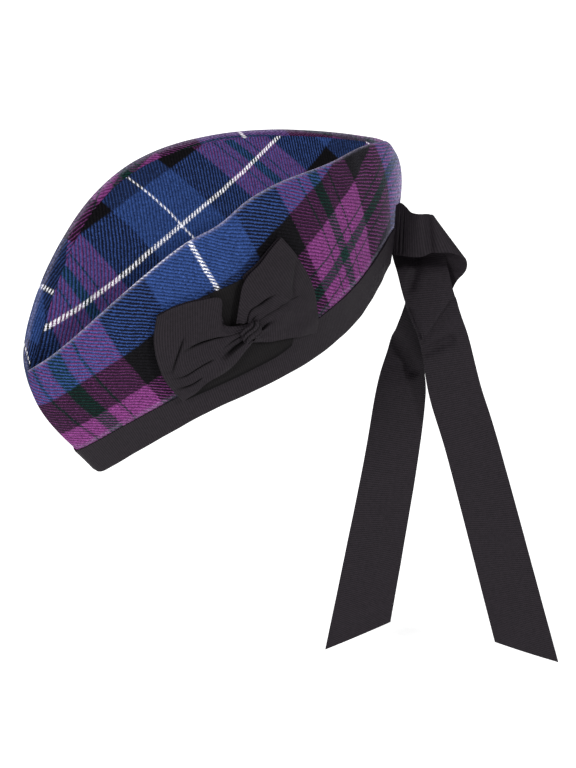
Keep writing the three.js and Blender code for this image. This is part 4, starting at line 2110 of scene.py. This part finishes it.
# The backing takes a duller copy of the ribbon, as a ribbon's back is, whose darker colour is painted shade
# for the hollows round the bow.
RIBBON_BACK_SHADED = BlackRibbon(
    colour="#0a090a", light_colour="#181617", roughness=0.8, name="black_rayon_ribbon_back_shaded"
)
LEFT_LAY = Lay(Run(38.7, 1.05, 0.11, 0.0, -0.0009, 0.0, -7e-6), Run(-6.3, -0.22, 1.03, 0.0005))
RIGHT_LAY = Lay(Run(110.0, 1.15, -0.33), Run(96.0, 0.33, 1.15))
CROWN_LAY = Lay(
    Run(11.3, 1.42, 0.44, 0.00134, 0.002, 0.0042),
    Run(51.5, -0.05, 1.18, -0.0008, 0.0021, 0.0005),
)
BACKING_ROWS = (
    BowRow(-45.0, 44.5, -53.0, -19.6, 7.6),
    BowRow(-18.0, 37.0, -20.0, -23.0, 0.0),
    BowRow(11.0, 34.3, 10.0, -24.3, 0.0),
    BowRow(39.5, 40.5, 24.0, -23.0, -10.0),
)
FRONT_NET = (
    (
        Station(0, 6.5, 6.6),
        Station(0, 5.2, 7.0),
        Station(0, 4, 7.4),
        Station(-0.5, -1, 6.6),
        Station(-0.5, -6, 5.6),
    ),
    (
        Station(-13.5, 16.2, 6.0),
        Station(-13, 11, 6.8),
        Station(-12.2, 6, 7.4),
        Station(-9.5, -4, 6.8),
        Station(-10.2, -10.2, 5.2),
    ),
    (
        Station(-9.4, 31.6, 5.8),
        Station(-16.8, 19.5, 7.0),
        Station(-21.8, 6.6, 7.4),
        Station(-20.5, -6.5, 7.0),
        Station(-21.2, -13.7, 5.0),
    ),
    (
        Station(-21.0, 38.2, 4.8),
        Station(-27, 23.8, 6.6),
        Station(-32.8, 7.6, 6.6),
        Station(-33, -5, 6.2),
        Station(-34.6, -14.4, 4.4),
    ),
    (
        Station(-34.4, 43.5, 4.2),
        Station(-40.4, 28, 5.6),
        Station(-46.2, 8.8, 5.6),
        Station(-46, -5, 5.4),
        Station(-45.5, -17, 4.0),
    ),
    (
        Station(-46, 46, 3.4),
        Station(-53, 34, 4.0),
        Station(-56.5, 19, 4.2),
        Station(-57.5, 0, 4.2),
        Station(-53.5, -18.5, 3.4),
    ),
)
BACK_NET = (
    (
        Station(-6, 11.6, 5.2),
        Station(-2.5, 9.5, 5.8),
        Station(0.5, 8, 6.6),
        Station(3, 4, 6.6),
        Station(6, 1, 6.6),
        Station(3, -3, 6.0),
        Station(-0.5, -6, 5.0),
    ),
    (
        Station(0.3, 24.4, 6.6),
        Station(1.9, 17.4, 7.0),
        Station(4.5, 14.2, 7.2),
        Station(8.5, 7, 7.4),
        Station(12, 1, 7.0),
        Station(10.5, -5.5, 6.2),
        Station(9, -11, 4.8),
    ),
    (
        Station(7.8, 36, 6.4),
        Station(10.2, 23.5, 7.0),
        Station(13, 15.2, 7.2),
        Station(17.5, 7.5, 7.4),
        Station(22, 1.5, 7.0),
        Station(21.5, -7.5, 6.2),
        Station(20, -15, 4.8),
    ),
    (
        Station(20, 38.6, 5.6),
        Station(22, 26, 6.4),
        Station(24.2, 17, 6.6),
        Station(28.5, 8, 6.4),
        Station(32.5, 2.5, 6.2),
        Station(32.5, -8, 5.6),
        Station(30.5, -19, 4.4),
    ),
    (
        Station(36.6, 43.4, 4.0),
        Station(43.5, 28, 4.0),
        Station(46.5, 18, 4.2),
        Station(48.5, 7, 4.2),
        Station(49, -4.5, 4.2),
        Station(47, -14.5, 4.0),
        Station(43, -23.5, 3.6),
    ),
)
FRONT_CREASES = (
    Crease(0.46, 0.4, -0.1, 0.68, 2.8, 3.2, 0.011),
    Crease(0.76, 0.7, -0.1, 0.36, -1.4, 3.2, 0.024),
    Crease(0.62, 0.6, -0.1, 0.28, 0.8, 1.4, 0.012),
    Crease(0.3, 0.62, 0.74, 0.9, 0.5, 1.5, 0.018),
    Crease(0.66, 0.7, 0.5, 0.88, 0.8, 1.5, 0.012),
    Crease(0.86, 0.84, 0.66, 0.94, 0.7, 1.6, 0.012),
)
BACK_CREASES = (
    Crease(0.3, 0.36, -0.1, 0.64, 2.8, 2.8, 0.014, 0.12),
    Crease(0.53, 0.56, -0.1, 0.78, 2.4, 2.8, 0.01, 0.12),
    Crease(0.43, 0.45, -0.1, 0.24, 0.6, 1.2, 0.01),
    Crease(0.76, 0.7, -0.1, 0.3, -1.2, 2.2, 0.013),
    Crease(0.5, 0.2, 0.82, 0.98, 0.5, 0.6, 0.03),
)
TAIL_LEFT_ROWS = (
    TailRow(2.6, 7.0, 0.6, 1.6, -26.2, 1.2),
    TailRow(5.6, 8.8, 1.8, 5.0, -25.9, 4.0),
    TailRow(9.2, 6.2, 3.4, 8.4, -25.8, 6.4),
    TailRow(12.0, 3.4, 5.2, 12.6, -25.8, 8.2),
    TailRow(15.6, 2.7, 7.0, 19.0, -25.4, 9.6),
    TailRow(20.5, 2.5, 8.0, 27.5, -23.0, 10.4),
    TailRow(24.6, 1.8, 7.4, 37.0, -22.8, 9.6),
    TailRow(26.8, -0.4, 4.0, 45.8, -26.6, 6.0),
    TailRow(26.8, -2.4, 0.0, 48.8, -31.4, 1.0),
    TailRow(25.4, -5.0, -4.0, 49.4, -36.4, -2.4),
    TailRow(21.5, -10.0, -13.0, 47.8, -41.6, -6.0),
    TailRow(14.5, -29.0, -23.0, 42.0, -49.6, -7.5),
    TailRow(10.6, -58.0, -7.0, 32.5, -74.0, -5.4),
    TailRow(-1.2, -95.0, -12.0, 23.4, -101.0, -5.0),
    TailRow(-8.7, -124.0, -12.0, 24.2, -127.0, -5.0),
    TailRow(-18.0, -180.0, -8.0, 18.2, -183.5, -6.0),
    TailRow(-42.0, -308.5, -6.0, 2.8, -288.5, -6.0),
)
TAIL_LEFT_FOLDS = (
    Fold(5.6, 4.0, 4.2, -25.0, groove=0.7, width=0.5),
    Fold(7.8, 3.0, 6.8, -25.0, groove=0.7, width=0.5),
    Fold(22.5, 4.0, 25.5, -26.0, groove=3.4, width=3.4),
    Fold(1.0, -84.0, 18.0, -112.0, groove=3.6, width=5.0),
)
TAIL_RIGHT_ROWS = (
    TailRow(5.6, -6.0, -12.0, 31.0, -9.0, -8.0),
    TailRow(3.4, -19.0, -19.0, 34.0, -21.0, -11.0),
    TailRow(1.4, -29.5, -18.0, 36.0, -31.0, -9.0),
    TailRow(3.8, -38.5, -4.5, 38.4, -41.0, -2.5),
    TailRow(8.5, -56.4, 0.8, 41.5, -53.0, 0.2),
    TailRow(13.3, -69.0, 3.0, 46.7, -68.7, 0.0),
    TailRow(19.5, -86.0, 4.0, 52.1, -84.5, -2.0),
    TailRow(26.3, -124.0, 3.0, 61.2, -119.0, -3.0),
    TailRow(40.6, -173.0, 1.0, 75.6, -165.0, -1.0),
    TailRow(74.0, -301.0, 0.0, 118.3, -316.7, 0.0),
)
TAIL_RIGHT_FOLDS = (
    Fold(20.6, -87.0, 41.0, -56.0, ledge=3.6, groove=1.0, reach=8.0),
    Fold(11.0, -60.0, 21.5, -87.0, groove=1.3, width=0.6),
    Fold(13.2, -62.0, 23.2, -86.0, groove=1.0, width=0.6),
    Fold(21.0, -24.0, 12.0, -52.0, groove=2.8, width=3.0),
    Fold(19.0, -94.0, 43.0, -84.0, groove=3.4, width=4.0),
)


def main() -> None:
    """Build and dress the whole glengarry."""
    logging.basicConfig(level=logging.INFO, format="%(name)s: %(message)s")
    form = CapForm()
    wool = SIDE_WOOL.material()
    ribbon = BlackRibbon().material()
    shaded_back_ribbon = RIBBON_BACK_SHADED.material()
    SidePanel(form, Side.LEFT, LEFT_LAY).build(wool)
    SidePanel(form, Side.RIGHT, RIGHT_LAY, crest_mark=0.3).build(wool)
    CrownPanel(form, CROWN_LAY).build(CROWN_WOOL.material())
    RimBinding(form).build(ribbon)
    place = BowPlace(form)
    BowBacking(place, BACKING_ROWS).build(shaded_back_ribbon)
    BowLoop("bow_front_loop", "bow_loop_front", place, FRONT_NET, FRONT_CREASES, aft=False).build(ribbon)
    BowLoop("bow_back_loop", "bow_loop_back", place, BACK_NET, BACK_CREASES, aft=True).build(ribbon)
    BowKnot(place).build(ribbon)
    RibbonTail("left_tail_ribbon", "tail_left", TAIL_LEFT_ROWS, TAIL_LEFT_FOLDS).build(ribbon)
    RibbonTail("right_tail_ribbon", "tail_right", TAIL_RIGHT_ROWS, TAIL_RIGHT_FOLDS).build(ribbon)
    Studio().build()


if __name__ == "__main__":
    main()
